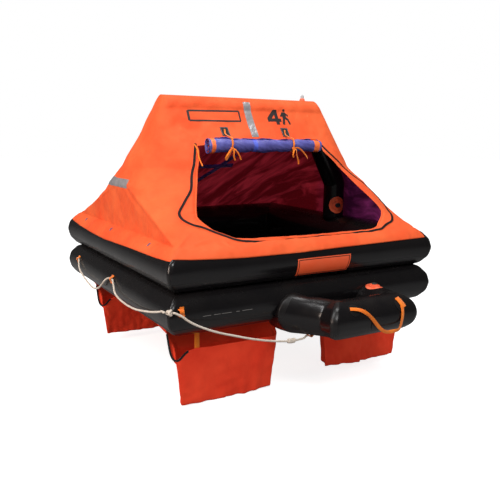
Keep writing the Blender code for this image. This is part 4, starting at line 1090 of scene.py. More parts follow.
def tie(label, x, tails):
    """Band round the roll at x, with its strap from the patch, its knot, loop and tails."""
    r, drop = ROLL_R * roll_size(np.array(x))[1] + 0.0010, roll_drop(np.array(x))
    turn = circle(80)
    radial = xyz(0, np.cos(turn), np.sin(turn))
    ring = radial * r + xyz(x - 0.020 + 0.004 * np.sin(turn), ROLL_Y, ROLL_Z - drop)
    centre = np.array((x - 0.027, ROLL_Y - r * 0.92 - 0.006, ROLL_Z - 0.018))
    top, out = on_front(x + 0.004, TIE_PATCH_Z + 0.012, 0.0045)
    over = [top, on_front(x - 0.002, TIE_PATCH_Z - 0.020, 0.0065)[0],
            (x - 0.012, ROLL_Y - 0.010, ROLL_Z + r + 0.003),
            (x - 0.019, ROLL_Y - r * 0.75, ROLL_Z + r * 0.72),
            (x - 0.024, ROLL_Y - r - 0.003, ROLL_Z + 0.004), centre]
    parts = [strap("band", ring, 0.010, 0.0012, radial, loop=True),
             ribbon("strap", over, 0.0095, [out, (0, -0.4, 1), (0, -0.8, 0.6), (0, -1, 0)])]
    turn = circle(40)
    for tilt, size in ((0.5, 0.0075), (-0.6, 0.0065)):
        wrap = size * xyz(np.cos(turn), 0.8 * np.sin(turn), 0.8 * np.cos(turn) * tilt + 0.3 * np.sin(turn))
        parts.append(strap("wrap", centre + wrap, 0.009, 0.0022, unit(wrap), loop=True))
    parts += [ribbon("tail", centre + np.array(points) / 1000, 0.009, faces) for points, faces in tails]
    joined = sharpen(merge(f"door_tie_{label}", parts), 40)
    dress(joined, orange_webbing, "orange_webbing", f"roll_tie_{label}")
    px, pz = net(*((middle - TIE_HALF, middle + TIE_HALF, 9) for middle in (x + 0.004, TIE_PATCH_Z)))
    at, out = on_front(px, pz, 0.0018)
    square = patch(f"tie_square_{label}", at, out * 0.0025)
    dress(square, black_webbing, "black_webbing", f"tie_patch_{label}")
    hem = np.array([(-1, -1), (1, -1), (1, 1), (-1, 1), (-1, -1)]) * (TIE_HALF - 0.003)
    loop = even_path(hem, 64, endpoint=False) + (x + 0.004, TIE_PATCH_Z)
    at, out = on_front(*loop.T, 0.0024)
    stitch = strap(f"tie_square_stitch_{label}", at, 0.0014, 0.0008, out, loop=True)
    dress(stitch, stitch_grey, "black_webbing")


# %% Knotted tails
front_face, left_face, right_face, down_face = (0, -1, 0), (-0.8, -0.6, 0), (0.6, -0.8, 0), (0.2, -0.7, -0.6)
# Each tail: its points from the knot in millimetres, and the directions its face looks in.
tie("left", TIE_LEFT_X, (
    (((0, -2, 0), (-16, -12, -6), (-34, -14, -30), (-46, -10, -52), (-40, -6, -62), (-26, -7, -44),
      (-10, -6, -14), (0, -2, 0)), (front_face, left_face, front_face, down_face, front_face)),
    (((0, 0, 0), (6, -10, -16), (4, -12, -40), (14, -10, -66)), (front_face, left_face, front_face)),
    (((0, 0, 0), (16, -12, -8), (36, -14, -34), (50, -12, -62)),
     (front_face, right_face, front_face, left_face))))
tie("right", TIE_RIGHT_X, (
    (((0, 0, 0), (-4, -10, -14), (-10, -12, -36), (-4, -10, -52)), (front_face, left_face, front_face)),
    (((0, 0, 0), (12, -12, -10), (16, -14, -40), (30, -10, -72), (34, -8, -92)),
     (front_face, right_face, front_face, left_face)),
    (((0, -2, 0), (22, -14, 4), (50, -16, -12), (86, -12, -44), (98, -9, -60)),
     (front_face, down_face, front_face, (0.5, -0.8, 0)))))
PULL = ((-0.450, 0.888), (-0.444, 0.855), (-0.452, 0.815), (-0.447, 0.770))
puller = ribbon("zip_puller", [on_front(x, z, 0.005)[0] for x, z in PULL], 0.007,
                [front_face, left_face, front_face])
dress(puller, orange_webbing, "orange_webbing")

# %% [markdown]
# ## Marks and tapes on the canopy
#
# The front carries a blank framed field, the figure 4 and a walking figure, which say how many
# people the raft holds. They are printed flat, so each is a thin patch on the canopy's own
# surface. Silver tape crosses the panels: its glass beads glint in a painted bright speckle.

# %% Marks
ink_black = rubber("ink_black", (0.010, 0.008, 0.009), 0.55, (0.05, 0.025, 0.02), cover=0.2, dent=0.0)
# Strokes of each mark in millimetres: x and z of both ends, and the width.
MARKS = (("field", (-434, 1020, -100, 1022, 9.5), (-100, 1022, -97, 1080, 9.5), (-97, 1080, -432, 1075, 9.5),
          (-432, 1075, -434, 1020, 15)),
         ("four", (158, 1090, 102, 1037, 23), (94, 1034, 192, 1034, 20), (162, 1097, 162, 1006, 25)),
         ("walker", (222, 1083, 220, 1044, 27), (218, 1052, 203, 1008, 16), (224, 1052, 242, 1036, 15),
          (241, 1040, 250, 1010, 13), (216, 1080, 196, 1056, 12), (226, 1080, 250, 1060, 11)))
HEAD_X, HEAD_Z, HEAD_R = 0.226, 1.094, 0.0085


def front_patch(name, x, z, lift=0.0006):
    """Closed thin patch on the front panel over grids of x and z."""
    at, out = on_front(x, z, lift)
    return patch(name, at, out * 0.0012)


def stroke(x0, z0, x1, z1, width):
    """Straight stroke between two places on the front panel."""
    line = np.array((x1 - x0, z1 - z0))
    long = np.hypot(*line)
    t, w = net((0, 1, max(int(long / 0.008), 3)), (-0.5, 0.5, 4))
    across = np.array((-line[1], line[0])) / long
    at = (x0, z0) + t[..., None] * line + (w * width)[..., None] * across
    return front_patch("stroke", at[..., 0], at[..., 1])


def round_net(radius, rings, steps):
    """Two grids of offsets that fill a circle."""
    r, a = net((0.02, 1, rings), (0, math.tau, steps))
    return radius * r * np.cos(a), radius * r * np.sin(a)


for label, *strokes in MARKS:
    parts = [stroke(*np.array(row) / 1000) for row in strokes]
    if label == "walker":
        dx, dz = round_net(HEAD_R, 5, 25)
        parts.append(front_patch("head", HEAD_X + dx, HEAD_Z + dz))
    dress(merge(f"mark_{label}", parts), ink_black, "black_webbing")
    print("mark", label, "has", len(parts), "strokes")

# %% Tapes and hem tabs
silver, tree, place, laid = start_finish("tape_silver", Metallic=0.35, Roughness=0.30)
wander = effect(tree, "shade_wander", Vector=place, Size=0.05, Colour=(0.36, 0.34, 0.35),
                Deeper=(0.25, 0.24, 0.25))[0]
painted_bead_glints = node(tree, "ShaderNodeTexVoronoi", None, {"Vector": place, "Scale": 900.0}).outputs["Distance"]
dented = effect(tree, "crumple", Vector=place, Size=0.012)[0]
# Painted glints: the beads show as bright specks in the colour.
feed(tree, Base_Color=blend(tree, ranged(tree, painted_bead_glints, 0.0, 0.5, 0.25, 0.0), wander, (0.75, 0.73, 0.72)),
     Normal=bumps(tree, (dented, 0.0045)))
u, v = net((0, 1, 8), (0.930, 1.136, 34))
tape_x = -0.058 + 0.048 * u + 0.03 * (v - 0.93) * (v < 0.98)
dress(front_patch("tape_front", tape_x, v, 0.0008), silver, "clear_dome")
u, v = net((-0.125, 0.29, 50), (0, 1, 8))
for side, label in ((-1, "left"), (1, "right")):
    at, out = on_side(side, u, 0.640 + 0.048 * v + 0.0015 * ripple(u, v * 0.02, 0.05, 31), 0.0010)
    dress(patch(f"tape_{label}", at, out * 0.0016), silver, "clear_dome")


def on_back(x, z, lift):
    """Points on the dressed back panel, the front panel's mirror image, lifted off it."""
    out = on_front(x, z)[1] * (1, -1, 1)
    at = xyz(x, 2 * row_at(z)[4] - front_y(x, z), z)
    return at + out * (slack(at) + lift)[..., None], out


for label, x_span, z_span in (("level", (-0.100, 0.150), (0.732, 0.738)),
                              ("slanting", (-0.090, 0.130), (0.585, 0.812))):
    at, out = on_back(np.linspace(*x_span, 40), np.linspace(*z_span, 40), -0.0040)
    dress(strap(f"inner_band_{label}", at, 0.036, 0.0016, -out), violet_webbing, "black_webbing")
for side in ("left", "right"):
    for k, y in enumerate((0.556, 0.070, -0.517)):
        places = [(y, degrees) for degrees in np.linspace(45, 55, 5)]
        at, out = hull_run(side, places, [HEM_LIFT + 0.0022] * 5, UPPER_Z)
        dress(strap(f"hem_tab_{side}_{k}", at, 0.014, 0.0016, out), tab_blue, "black_webbing")

# %% [markdown]
# ## The arch and its lamp
#
# A black inflated arch of straight lengths joined at mitres holds the canopy up. It only shows
# through the doorway, with its orange valve on the right leg. The lamp on the ridge is a small
# frosted dome on an orange base, switched on by its battery when the raft inflates.

# %% Arch
def bent_path(points, radius, steps=8):
    """Polyline whose inner corners are rounded with arcs of one radius."""
    path = [points[0]]
    for before, here, after in zip(points, points[1:], points[2:]):
        to_a, to_b = unit(before - here), unit(after - here)
        half = math.acos(np.clip(to_a @ to_b, -1, 1)) / 2
        back = radius / math.tan(half)
        centre = here + unit(to_a + to_b) * radius / math.sin(half)
        first, last = here + to_a * back - centre, here + to_b * back - centre
        sweep = math.pi - 2 * half
        for t in np.linspace(0, 1, steps + 1):
            arc = first * math.sin((1 - t) * sweep) + last * math.sin(t * sweep)
            path.append(centre + arc / math.sin(sweep))
    return np.array(path + [points[-1]])


def fill_path(path, step):
    """The same path with points added so that none lie further apart than step."""
    parts = []
    for a, b in zip(path, path[1:]):
        count = max(int(np.linalg.norm(b - a) / step), 1)
        parts.append(a + (b - a) * np.linspace(0, 1, count, endpoint=False)[:, None])
    return np.vstack(parts + [path[-1:]])


ARCH_FOOT_Z, ARCH_BEND, ARCH_CLEAR = UPPER_Z + 0.095, 0.075, 0.0008
arch_corners = ((-ARCH_FOOT_X, ARCH_FOOT_Z), (-ARCH_FOOT_X, ARCH_KNEE_Z),
                (ARCH_SHIFT_X - ARCH_TOP_X, ARCH_TOP_Z), (ARCH_SHIFT_X + ARCH_TOP_X, ARCH_TOP_Z),
                (ARCH_FOOT_X, ARCH_KNEE_Z), (ARCH_FOOT_X, ARCH_FOOT_Z))
arch_path = fill_path(bent_path([np.array((x, ARCH_Y, z)) for x, z in arch_corners], ARCH_BEND), 0.02)
turn = circle(48)[None]
along = np.linspace(0, path_length(arch_path), len(arch_path))[:, None]
radius = (ARCH_R - ARCH_CLEAR) * (1 + 0.006 * ripple(along, turn * ARCH_R, 0.20, 41))
arch = carry("arch_air_tube", arch_path, xyz(radius * np.cos(turn), radius * np.sin(turn)), (0, -1, 0))
dress(arch, hull_black, "tube_rubber", "arch_tube")
print("arch is", round(path_length(arch_path), 2), "m long")

# %% Valves
# radius as a share of the valve's size, and height in metres
VALVE_RIM = ((1.66, 0.0006), (1.64, 0.0014), (1.05, 0.0014), (1.0, 0.006), (0.94, 0.0085), (0.82, 0.0085),
             (0.78, 0.0050), (0.64, 0.0050), (0.60, 0.0100), (0.50, 0.0115), (0.02, 0.0115))
VALVE_CAP = ((0.46, 0.0112), (0.46, 0.0150), (0.40, 0.0170), (0.28, 0.0170), (0.24, 0.0150), (0.02, 0.0150))
CAP_RIBS, RIB_DEPTH = 16, 0.03


def valve(name, wrap, size, replaced):
    """Topping-up valve: a round patch, a moulded rim in two steps and a dark screwed cap.

    wrap(a, b, lift) gives the point on the tube at a and b metres from the valve's middle.
    """
    a = circle(64)
    ribs = 1 + RIB_DEPTH * np.cos(a * CAP_RIBS)
    for label, outline, wave, *looks in ((name, VALVE_RIM, 1.0, valve_orange, "orange_rubber", replaced),
                                         (f"{name}_cap", VALVE_CAP, ribs, hose_black, "hose_rubber")):
        r, h = np.array(outline).T[..., None] * np.ones(64)
        r = r * size * wave
        piece = skin(label, wrap(r * np.cos(a), r * np.sin(a), h), wrap=(False, True), capped=True)
        turn_outwards(piece)
        dress(sharpen(piece, 35), *looks)


ARCH_VALVE_Z, VALVE_TURN = LOWER_Z + 0.405, 0.28


def round_arch_leg(a, b, lift):
    """Point on the arch's right leg, a metres round it and b above the valve's middle."""
    bend = a / ARCH_R - VALVE_TURN
    reach = ARCH_R + lift
    return xyz(ARCH_FOOT_X + reach * np.sin(bend), ARCH_Y - reach * np.cos(bend), ARCH_VALVE_Z + b)


valve("arch_valve_body", round_arch_leg, 0.034, "arch_valve")

# %% Lamp
LIGHT_X = 0.420
base_z = RIDGE_Z + GAP
base = ((0.019, -0.004), (0.019, 0.001), (0.016, 0.003), (0.0155, 0.010), (0.012, 0.014), (0.004, 0.0142))
lamp_base = turned("lamp_base", base, (LIGHT_X, ARCH_Y, base_z), (0, 0, 1))
dress(lamp_base, valve_orange, "orange_rubber", "light_base")
frosted, tree, place, laid = start_finish("dome_frosted", Transmission_Weight=0.6, Roughness=0.28, IOR=1.45)
feed(tree, Base_Color=blend(tree, noise(tree, place, 260.0, 3.0), (0.86, 0.87, 0.88), (0.74, 0.75, 0.76)))
dome = [(0.0100, 0.0), (0.0104, 0.004), (0.0100, 0.010)] + [
    (0.0100 * math.cos(a), 0.010 + 0.012 * math.sin(a)) for a in np.linspace(0.15, 1.5, 9)]
lamp_dome = turned("lamp_dome", dome, (LIGHT_X, ARCH_Y, base_z + 0.0143), (0, 0, 1), 32)
dress(lamp_dome, frosted, "clear_dome", "light_dome")
print("lamp top", round(base_z + 0.0363, 4))

# %% [markdown]
# ## The boarding ramp
#
# In front of the door a tube bent in a U floats on the water, with a web across it to kneel on.
# It works like the hull tubes: for each angle of its section the U is offset by that much and
# its corners get their own radius. Its ends are trimmed to the lower tube, and collars of tape
# cover the joints. It drops a little towards the front.

# %% Ramp surface
RAMP_INSIDE, RAMP_OUTSIDE = 0.014, 0.040
LEG_FLARE = 0.18          # how much fuller the left leg is at its root, as a share of the radius


def ramp_surface(turn, angle, lift=0.0):
    """Point on the ramp: turn 0 to 1 is the left leg, to 2 the front bar, to 3 the right leg.

    The corners take the last tenth of the left leg and of the bar, and the first tenth after each.
    """
    turn, angle = np.broadcast_arrays(np.asarray(turn, float), np.asarray(angle, float))
    bend_at = np.minimum(np.abs(turn - 1), np.abs(turn - 2))
    inwards, outwards = (1 - np.cos(angle)) / 2, (1 + np.cos(angle)) / 2
    tuck = 0.0035 * np.exp(-(bend_at / 0.13) ** 2) * np.cos(angle * 11 + turn * 3) * inwards ** 0.8
    uneven = 0.0012 * ripple(turn * 0.4, angle * RAMP_R, 0.2, 51)
    reach = RAMP_R + lift + tuck + uneven + RAMP_R * LEG_FLARE * np.exp(-(turn / 0.34) ** 2) * outwards
    h, v = reach * np.cos(angle), reach * np.sin(angle)
    radius = RAMP_INSIDE + (RAMP_OUTSIDE - RAMP_INSIDE) * outwards ** 1.6
    left_x, right_x, bar_y = RAMP_LEFT_X - h, RAMP_RIGHT_X + h, RAMP_FRONT_Y - h
    rise = v + RAMP_ROOT_Z - LOWER_Z
    root_y = -HALF_SIDE - np.sqrt(np.maximum(TUBE_R ** 2 - rise ** 2, 0.03 ** 2)) + 0.004
    mirrored = turn > 1.5
    t = np.where(mirrored, 3 - turn, turn)
    bend = np.clip((t - 0.9) / 0.2, 0, 1) * math.pi / 2
    past_bend = (t - 1.1) / 0.4
    middle_x = (left_x + right_x) / 2
    leg_y = root_y + (bar_y + radius - root_y) * t / 0.9
    y = np.where(t < 0.9, leg_y, bar_y + radius - radius * np.sin(bend))
    x = np.where(t < 1.1, left_x + radius - radius * np.cos(bend),
                 left_x + radius + (middle_x - left_x - radius) * past_bend)
    x = np.where(mirrored, 2 * middle_x - x, x - leg_lean(y) * (1 - np.clip(past_bend, 0, 1)))
    return xyz(x, y, ramp_z(y) + v)


# %% Ramp tube and its tapes
stops = ((0, 0.9, 34), (0.9, 1.1, 20), (1.1, 1.9, 40), (1.9, 2.1, 20), (2.1, 3.0, 34))
ramp_turns = np.append(np.concatenate([np.linspace(*stop, endpoint=False) for stop in stops]), 3.0)[:, None]
ramp = skin("ramp_air_tube", ramp_surface(ramp_turns, circle(72)[None]), wrap=(False, True), capped=True)
print("ramp holds", round(turn_outwards(ramp), 4), "m3")
dress(ramp, hull_black, "tube_rubber", "ramp_tube")
for label, turns, degrees, lift in (("collar_left", (0.0, 0.16), (0, 357), 0.0008),
                                    ("collar_right", (2.84, 3.0), (0, 357), 0.0008),
                                    ("mitre_left", (0.95, 1.05), (-100, 100), 0.0007),
                                    ("mitre_right", (1.95, 2.05), (-100, 100), 0.0007)):
    tape = surface_patch(f"ramp_{label}", ramp_surface, turns, degrees, (12, 5), lift)
    turn_outwards(tape)
    dress(tape, seam_black, "tube_rubber")

# %% Ramp web
WEB_IN, WEB_BACK_Y = RAMP_R - 0.004, -0.842
web_u, web_v = net((0, 1, 24), (0, 1, 12))
web_left, web_right, web_front = RAMP_LEFT_X + WEB_IN, RAMP_RIGHT_X - WEB_IN, RAMP_FRONT_Y + WEB_IN
web_y = web_front + (WEB_BACK_Y - web_front) * web_v
web_x = web_left + (web_right - web_left) * web_u - leg_lean(web_y) * (1 - web_u)
web_sag = -0.010 * np.sin(math.pi * web_u) * (0.4 + 0.6 * web_v)
web_sag += 0.002 * ripple(web_u * 0.25, web_v * 0.1, 0.08, 52)
web = skin("ramp_web", xyz(web_x, web_y, ramp_z(web_y) + web_sag), wall=0.0016)
dress(web, seam_black, "tube_rubber", "ramp_floor")
print("web is", round(web_right - web_left, 3), "by", round(WEB_BACK_Y - web_front, 3), "m")

# %% Ramp valve and round patches
RAMP_VALVE_Y = -0.895


def over_ramp_leg(a, b, lift):
    """Point on the ramp's right leg, a metres round it and b along it from the valve's middle."""
    reach, y = RAMP_R + lift, RAMP_VALVE_Y + b
    return xyz(RAMP_RIGHT_X + reach * np.sin(a / RAMP_R), y, ramp_z(y) + reach * np.cos(a / RAMP_R))


def on_ramp_bar(x, angle, stand):
    """Point at x on the ramp's front bar, at an angle above level, standing off its surface."""
    y = RAMP_FRONT_Y - (RAMP_R + stand) * np.cos(angle)
    return xyz(x, y, ramp_z(y) + (RAMP_R + stand) * np.sin(angle))


valve("ramp_valve_body", over_ramp_leg, 0.030, "ramp_valve")
for label, x, degrees, radius, lift in (
        ("left", 0.040, 42, 0.034, 0.0018), ("right", 0.350, 36, 0.034, 0.0018),
        ("middle", 0.180, -12, 0.040, 0.0016)):
    dx, rise = round_net(radius, 6, 41)
    angle = math.radians(degrees) + rise / RAMP_R
    at, low = (on_ramp_bar(x + dx, angle, stand) for stand in (lift, lift - 0.002))
    dress(patch(f"ramp_disc_{label}", at, at - low), seam_black, "tube_rubber")

# %% [markdown]
# The grip strap hangs across the front bar from two round patches. Webbing turned on edge shows
# its face in one place and its rim in another, so the strap gets one twist on its way.

# %% Ramp strap
GRIP_STAND, GRIP_LOW_Z, GRIP_LEFT_X, GRIP_LONG = RAMP_R + 0.0040, -0.068, 0.015, 0.340
t = np.linspace(0, 1, 120)
left_z, right_z = (GRIP_STAND * math.sin(math.radians(angle)) for angle in (46, 42))
top = left_z + (right_z - left_z) * t
z = top + (GRIP_LOW_Z - top) * (1 - np.abs(2 * t ** 2.8 - 1) ** 4.6)
clear = GRIP_STAND + 0.009 * np.minimum(4 * t * (1 - t) * 2.5, 1.0)
y = RAMP_FRONT_Y - np.where(z > 0, np.sqrt(np.maximum(clear ** 2 - z ** 2, 1e-6)), clear)
grip = xyz(GRIP_LEFT_X + GRIP_LONG * t, y, RAMP_FRONT_Z + z + RAMP_SLOPE * (y - RAMP_FRONT_Y))
lean = np.arcsin(np.clip((grip[:, 2] - RAMP_FRONT_Z) / GRIP_STAND, -0.3, 0.95))
face = xyz(0, -np.cos(lean), np.sin(lean))
twist = (1.05 * np.exp(-((t - 0.30) / 0.10) ** 2) - 0.55 * np.exp(-((t - 0.74) / 0.09) ** 2))[:, None]
face = face * np.cos(twist) + np.cross(unit(np.gradient(grip, axis=0)), face) * np.sin(twist)
dress(strap("ramp_grip", grip, 0.019, 0.0020, face), orange_webbing, "orange_webbing", "ramp_strap")
angle = np.radians(np.linspace(26, 59, 12))
at = on_ramp_bar(0.355 - 0.010 * np.linspace(-1, 1, 12), angle, 0.0052)
grip_end = strap("ramp_grip_end_right", at, 0.032, 0.0030, xyz(0, -np.cos(angle), np.sin(angle)))
dress(grip_end, orange_webbing, "orange_webbing")
print("grip strap", round(path_length(grip), 3), "m")

# %% Boarding sign
SIDE_FLAT = 0.7905       # half the straight length of a side, at the tubes' outermost line


def turns_at(*places):
    """Turns round the raft of places x along the front."""
    return 3 + np.array(places) * CORNER_LOW / SIDE_FLAT


hull_patch("boarding_sign", turns_at(-0.115, 0.225), (-42, 7), UPPER, 0.0016, plate_orange, "orange_rubber",
           "boarding_plate")
for label, places, degrees in (
        ("top", (-0.108, 0.218), (2.6, 4.4)), ("bottom", (-0.108, 0.218), (-39.4, -37.6)),
        ("left", (-0.108, -0.1045), (-38.5, 3.5)), ("right", (0.2145, 0.218), (-38.5, 3.5))):
    hull_patch(f"boarding_sign_edge_{label}", turns_at(*places), degrees, UPPER, 0.0021, ink_black,
               "black_webbing")
thread_grey = rubber("seam_thread", (0.16, 0.15, 0.14), 0.6, (0.20, 0.19, 0.18), dent=0.0)
THREADS = ((-0.650, -0.606), (-0.592, -0.556), (-0.548, -0.496), (-0.470, -0.452), (-0.436, -0.380))
for k, places in enumerate(THREADS):
    hull_patch(f"seam_thread_{k}", turns_at(*places), (-3.0, -1.8), LOWER, 0.0010, thread_grey,
               "black_webbing")

# %% [markdown]
# ## Ballast pockets
#
# Four red cloth pockets hang under the floor. At sea they fill with water and hold the raft
# down; out of the water they hang slack. Each is one sheet that runs from the middle of the
# bottom out to its edge and up the walls to the rim, with upright folds that deepen downwards,
# a crumpled lower edge, and a black tape round the lip that hangs open at the front.

# %% Pocket outline
def plan_outline(half_w, half_d, radius, turn):
    """Points and outward directions on a rounded rectangle seen from above.

    turn goes evenly from 0 to 1, from the middle of the front round by the right.
    """
    w, d, arc = half_w - radius, half_d - radius, radius * math.pi / 2
    legs = np.array([w, arc, 2 * d, arc, 2 * w, arc, 2 * d, arc, w])
    ends = np.append(0, np.cumsum(legs))
    s = turn * ends[-1]
    k = np.clip(np.searchsorted(ends, s, side="right") - 1, 0, 8)
    share = (s - ends[k]) / legs[k]
    start = np.array([(0, -half_d), (w, -half_d), (half_w, -d), (half_w, d), (w, half_d), (-w, half_d),
                      (-half_w, d), (-half_w, -d), (-w, -half_d)])[k]
    heading = np.radians(90.0 * (k // 2 % 4))
    bend = heading - math.pi / 2 + share * math.pi / 2
    ahead, inwards, off = (xyz(np.cos(a), np.sin(a)) for a in (heading, heading + math.pi / 2, bend))
    bent = (k % 2 == 1)[:, None]
    at = np.where(bent, start + radius * (inwards + off), start + ahead * (share * legs[k])[:, None])
    return at, np.where(bent, off, -inwards)


# %% Pocket surface
POCKET_W, POCKET_D, POCKET_LIP_Z = 0.312, 0.165, LOWER_Z - 0.235
POCKET_NARROWER, POCKET_FOLDED, BACK_DRAWN_IN = 0.036, 0.095, 0.26
STRAP_AT, STRAP_WIDE, LIP_HIGHER = 0.175, 0.028, 0.024
RIM_DRAWN_IN, LOW_SAG = 0.085, 0.012
AROUND, WALL_ROWS, BOTTOM_ROWS = 208, 44, 16
# middle x and y, seed of its folds, how much shorter it hangs, fullness of its inner and outer half
POCKETS = {"front_left": (-0.465, -0.555, 61, -0.008, 1.06, 0.995),
           "front_right": (0.465, -0.555, 65, 0.030, 1.0, 0.95),
           "back_left": (-0.465, 0.635, 69, 0.040, 1.0, 0.97),
           "back_right": (0.465, 0.635, 73, 0.020, 1.0, 1.0)}


def pocket_grid(cx, cy, seed, shorter, inner, outer):
    """Rows from the bottom's middle to the rim; the front of the rim hangs as a lip."""
    turn = np.linspace(0, 1, AROUND, endpoint=False)
    way = turn * 1.8
    rim_x, rim_y = plan_outline(POCKET_W, POCKET_D, 0.050, turn)[0].T
    part = np.clip((rim_y + POCKET_D - 0.012) / 0.110, 0, 1)
    lift = part * part * (3 - 2 * part)
    at_strap = np.exp(-((rim_x - math.copysign(STRAP_AT, cx)) / 0.05) ** 2)
    at_corner = np.exp(-((rim_x - math.copysign(0.292, cx)) / 0.040) ** 2)
    dip = (0.006 * (1 - at_strap) - LIP_HIGHER) * (1 - lift) + 0.046 * at_corner * (1 - lift)
    rim = POCKET_LIP_Z - dip + (FLOOR_LOW - 0.0005 - POCKET_LIP_Z) * lift
    walls = []
    for v in np.linspace(1.0, 0.0, WALL_ROWS):
        fallen = min(v / 0.35, 1.0)
        fallen = fallen * fallen * (3 - 2 * fallen)
        half_w, half_d = POCKET_W - POCKET_NARROWER * v, POCKET_D - POCKET_FOLDED * fallen
        at, out = plan_outline(half_w, half_d, 0.050 - 0.036 * fallen, turn)
        x, y = at.T
        y = y - POCKET_FOLDED * fallen
        back_share = np.clip((y + POCKET_D) / (2 * POCKET_D), 0, 1)
        x = x * (1 - BACK_DRAWN_IN * fallen * back_share * 2)
        x = x * np.where(x * cx < 0, inner, outer - RIM_DRAWN_IN * back_share)
        fold = (0.0025 + 0.0060 * v) * ripple(way + 0.12 * v * np.sin(way * 9 + seed), v * 0.03, 0.20, seed)
        fold = fold + 0.0035 * v * ripple(way, v * 0.25, 0.07, seed + 1) - 0.010 * v
        low = POCKET_LOW + shorter + 0.0035 * (1 + ripple(way, 0.0, 0.13, seed + 2))
        low = low - LOW_SAG * (1 - (x / POCKET_W) ** 2) * (1 - back_share)
        z = rim + (low - rim) * v
        fold = fold * np.clip((FLOOR_LOW - z) / 0.06, 0.08, 1)
        walls.append(xyz(cx + x + out[:, 0] * fold, cy + y + out[:, 1] * fold, z))
    middle = walls[0].mean(0)
    bottom = []
    for s in np.linspace(0.02, 1, BOTTOM_ROWS, endpoint=False):
        row = middle + (walls[0] - middle) * s
        row[:, 2] += 0.004 * (1 - s) + 0.003 * ripple(row[:, 0], row[:, 1], 0.12, seed + 3) * (1 - s ** 4)
        bottom.append(row)
    return np.array(bottom + walls)


# %% Pocket bags and straps
for label, (cx, cy, *shape) in POCKETS.items():
    grid = pocket_grid(cx, cy, *shape)
    bag = skin(f"pocket_bag_{label}", grid[::-1], wrap=(False, True), wall=0.0012, centre=-1.0)
    fine = bmesh.new()
    fine.from_mesh(bag.data)
    area = sum(face.calc_area() for face in fine.faces)
    fine.free()
    dress(bag, pocket_cloth, "pocket_cloth", f"pocket_{label}")
    rim = grid[-1]
    lip = np.flatnonzero((rim[:, 2] < FLOOR_LOW - 0.012) & ((rim[:, 0] - cx) * math.copysign(1, cx) > 0.225))
    lip = smooth_path(rim[np.roll(lip, -np.count_nonzero(lip <= AROUND // 2))], 150)
    out = unit(xyz(lip[:, 0] - cx, (lip[:, 1] - cy - 0.02) * 2.2, 0))
    tape = strap(f"pocket_binding_{label}", lip - (0, 0, 0.002), 0.011, 0.0040, out)
    dress(tape, binding_black, "black_webbing")
    hanging = [(cx + math.copysign(STRAP_AT, cx), cy - POCKET_D + out_y, z) for out_y, z in (
        (0.006, POCKET_LIP_Z - 0.030), (0.005, POCKET_LIP_Z - 0.008), (0.006, POCKET_LIP_Z + 0.030),
        (0.007, FLOOR_LOW - 0.0005))]
    hanger = strap(f"pocket_hanger_{label}", smooth_path(hanging, 40), STRAP_WIDE, 0.0026, (0, -1, 0))
    dress(hanger, orange_webbing, "orange_webbing", f"pocket_strap_{label}")
    box = np.round([grid.min((0, 1)), grid.max((0, 1))], 3).tolist()
    print(f"pocket {label}: box {box}, cloth {area:.3f} m2")

# %% [markdown]
# ## Under the floor
#
# The floor is one sheet glued to the lower tube. Below it hang a righting strap and the gas
# cylinder that fills the tubes, held in two webbing slings, with a hose to the inlet valve.

# %% Floor sheet and righting strap
FLOOR_REACH = HALF_SIDE + 0.013
floor_rows = []
for share in (0.02, 0.10, 0.2, 0.3, 0.4, 0.5, 0.6, 0.7, 0.8, 0.86, 0.91, 0.95, 0.98, 1.0):
    x, y = round_square(turns_around(16, 8), FLOOR_REACH * share, 0.050 * share)
    quilt = 0.0030 * ripple(x, y, 0.34, 81) * np.clip((1 - share) * 8, 0, 1)
    floor_rows.append(xyz(x, y, FLOOR_LOW + 0.003 + quilt))
raft_floor = skin("raft_floor", floor_rows, wrap=(False, True), wall=0.0022)
dress(raft_floor, seam_black, "tube_rubber", "floor")
y = np.linspace(0.030 - HALF_SIDE, HALF_SIDE - 0.030, 90)
hang = 0.0035 + 0.004 * (1 + ripple(y, 0.3, 0.4, 83)) * (np.abs(y) < 0.68)
at = xyz(0.004 * ripple(y, 0.0, 0.6, 82), y, FLOOR_LOW - hang)
righting = strap("righting_band", at, 0.050, 0.0026, (0, 0, -1))
dress(righting, orange_webbing, "orange_webbing", "righting_strap")
print("righting strap", round(path_length(at), 3), "m")

# %% Gas cylinder and hose
BOTTLE_R, BOTTLE_HALF, SLING_T, HOSE_D, INLET_ANGLE = 0.052, 0.185, 0.0028, 0.008, -75.0
SHOULDER_AT, SHOULDER_LONG, NECK_R = 0.150, 0.035, 0.018
cx, cy, cz = 0.300, 0.190, FLOOR_LOW - GAP - (BOTTLE_R + SLING_T) * math.cos(math.pi / 20)
shoulder = [(NECK_R + (BOTTLE_R - NECK_R) * math.cos(a), SHOULDER_AT + SHOULDER_LONG * math.sin(a))
            for a in np.linspace(0, math.pi / 2, 9)]
bottle = [(r, -z) for r, z in shoulder[::-1]] + shoulder
HEAD = ((0.012, 0.0), (0.0155, 0.003), (0.0155, 0.014), (0.0125, 0.017), (0.0125, 0.026), (0.0155, 0.029),
        (0.0155, 0.038), (0.010, 0.0455), (0.006, 0.0462))
ELBOW = ((0.015, -0.003), (0.015, 0.004), (0.0125, 0.006), (0.0085, 0.008), (0.0095, 0.0095), (0.0080, 0.011),
         (0.0095, 0.0125), (0.0080, 0.014), (0.0080, 0.016))
for name, profile, x, steps, *looks in (
        ("gas_bottle", bottle, cx, 64, bottle_grey, "cylinder_paint", "gas_cylinder"),
        ("gas_head", HEAD, cx + BOTTLE_HALF - 0.0005, 40, steel, "steel", "cylinder_head")):
    dress(turned(name, profile, (x, cy, cz), (1, 0, 0), steps), *looks)
turn = circle(72)
radial = xyz(0, np.cos(turn), np.sin(turn))
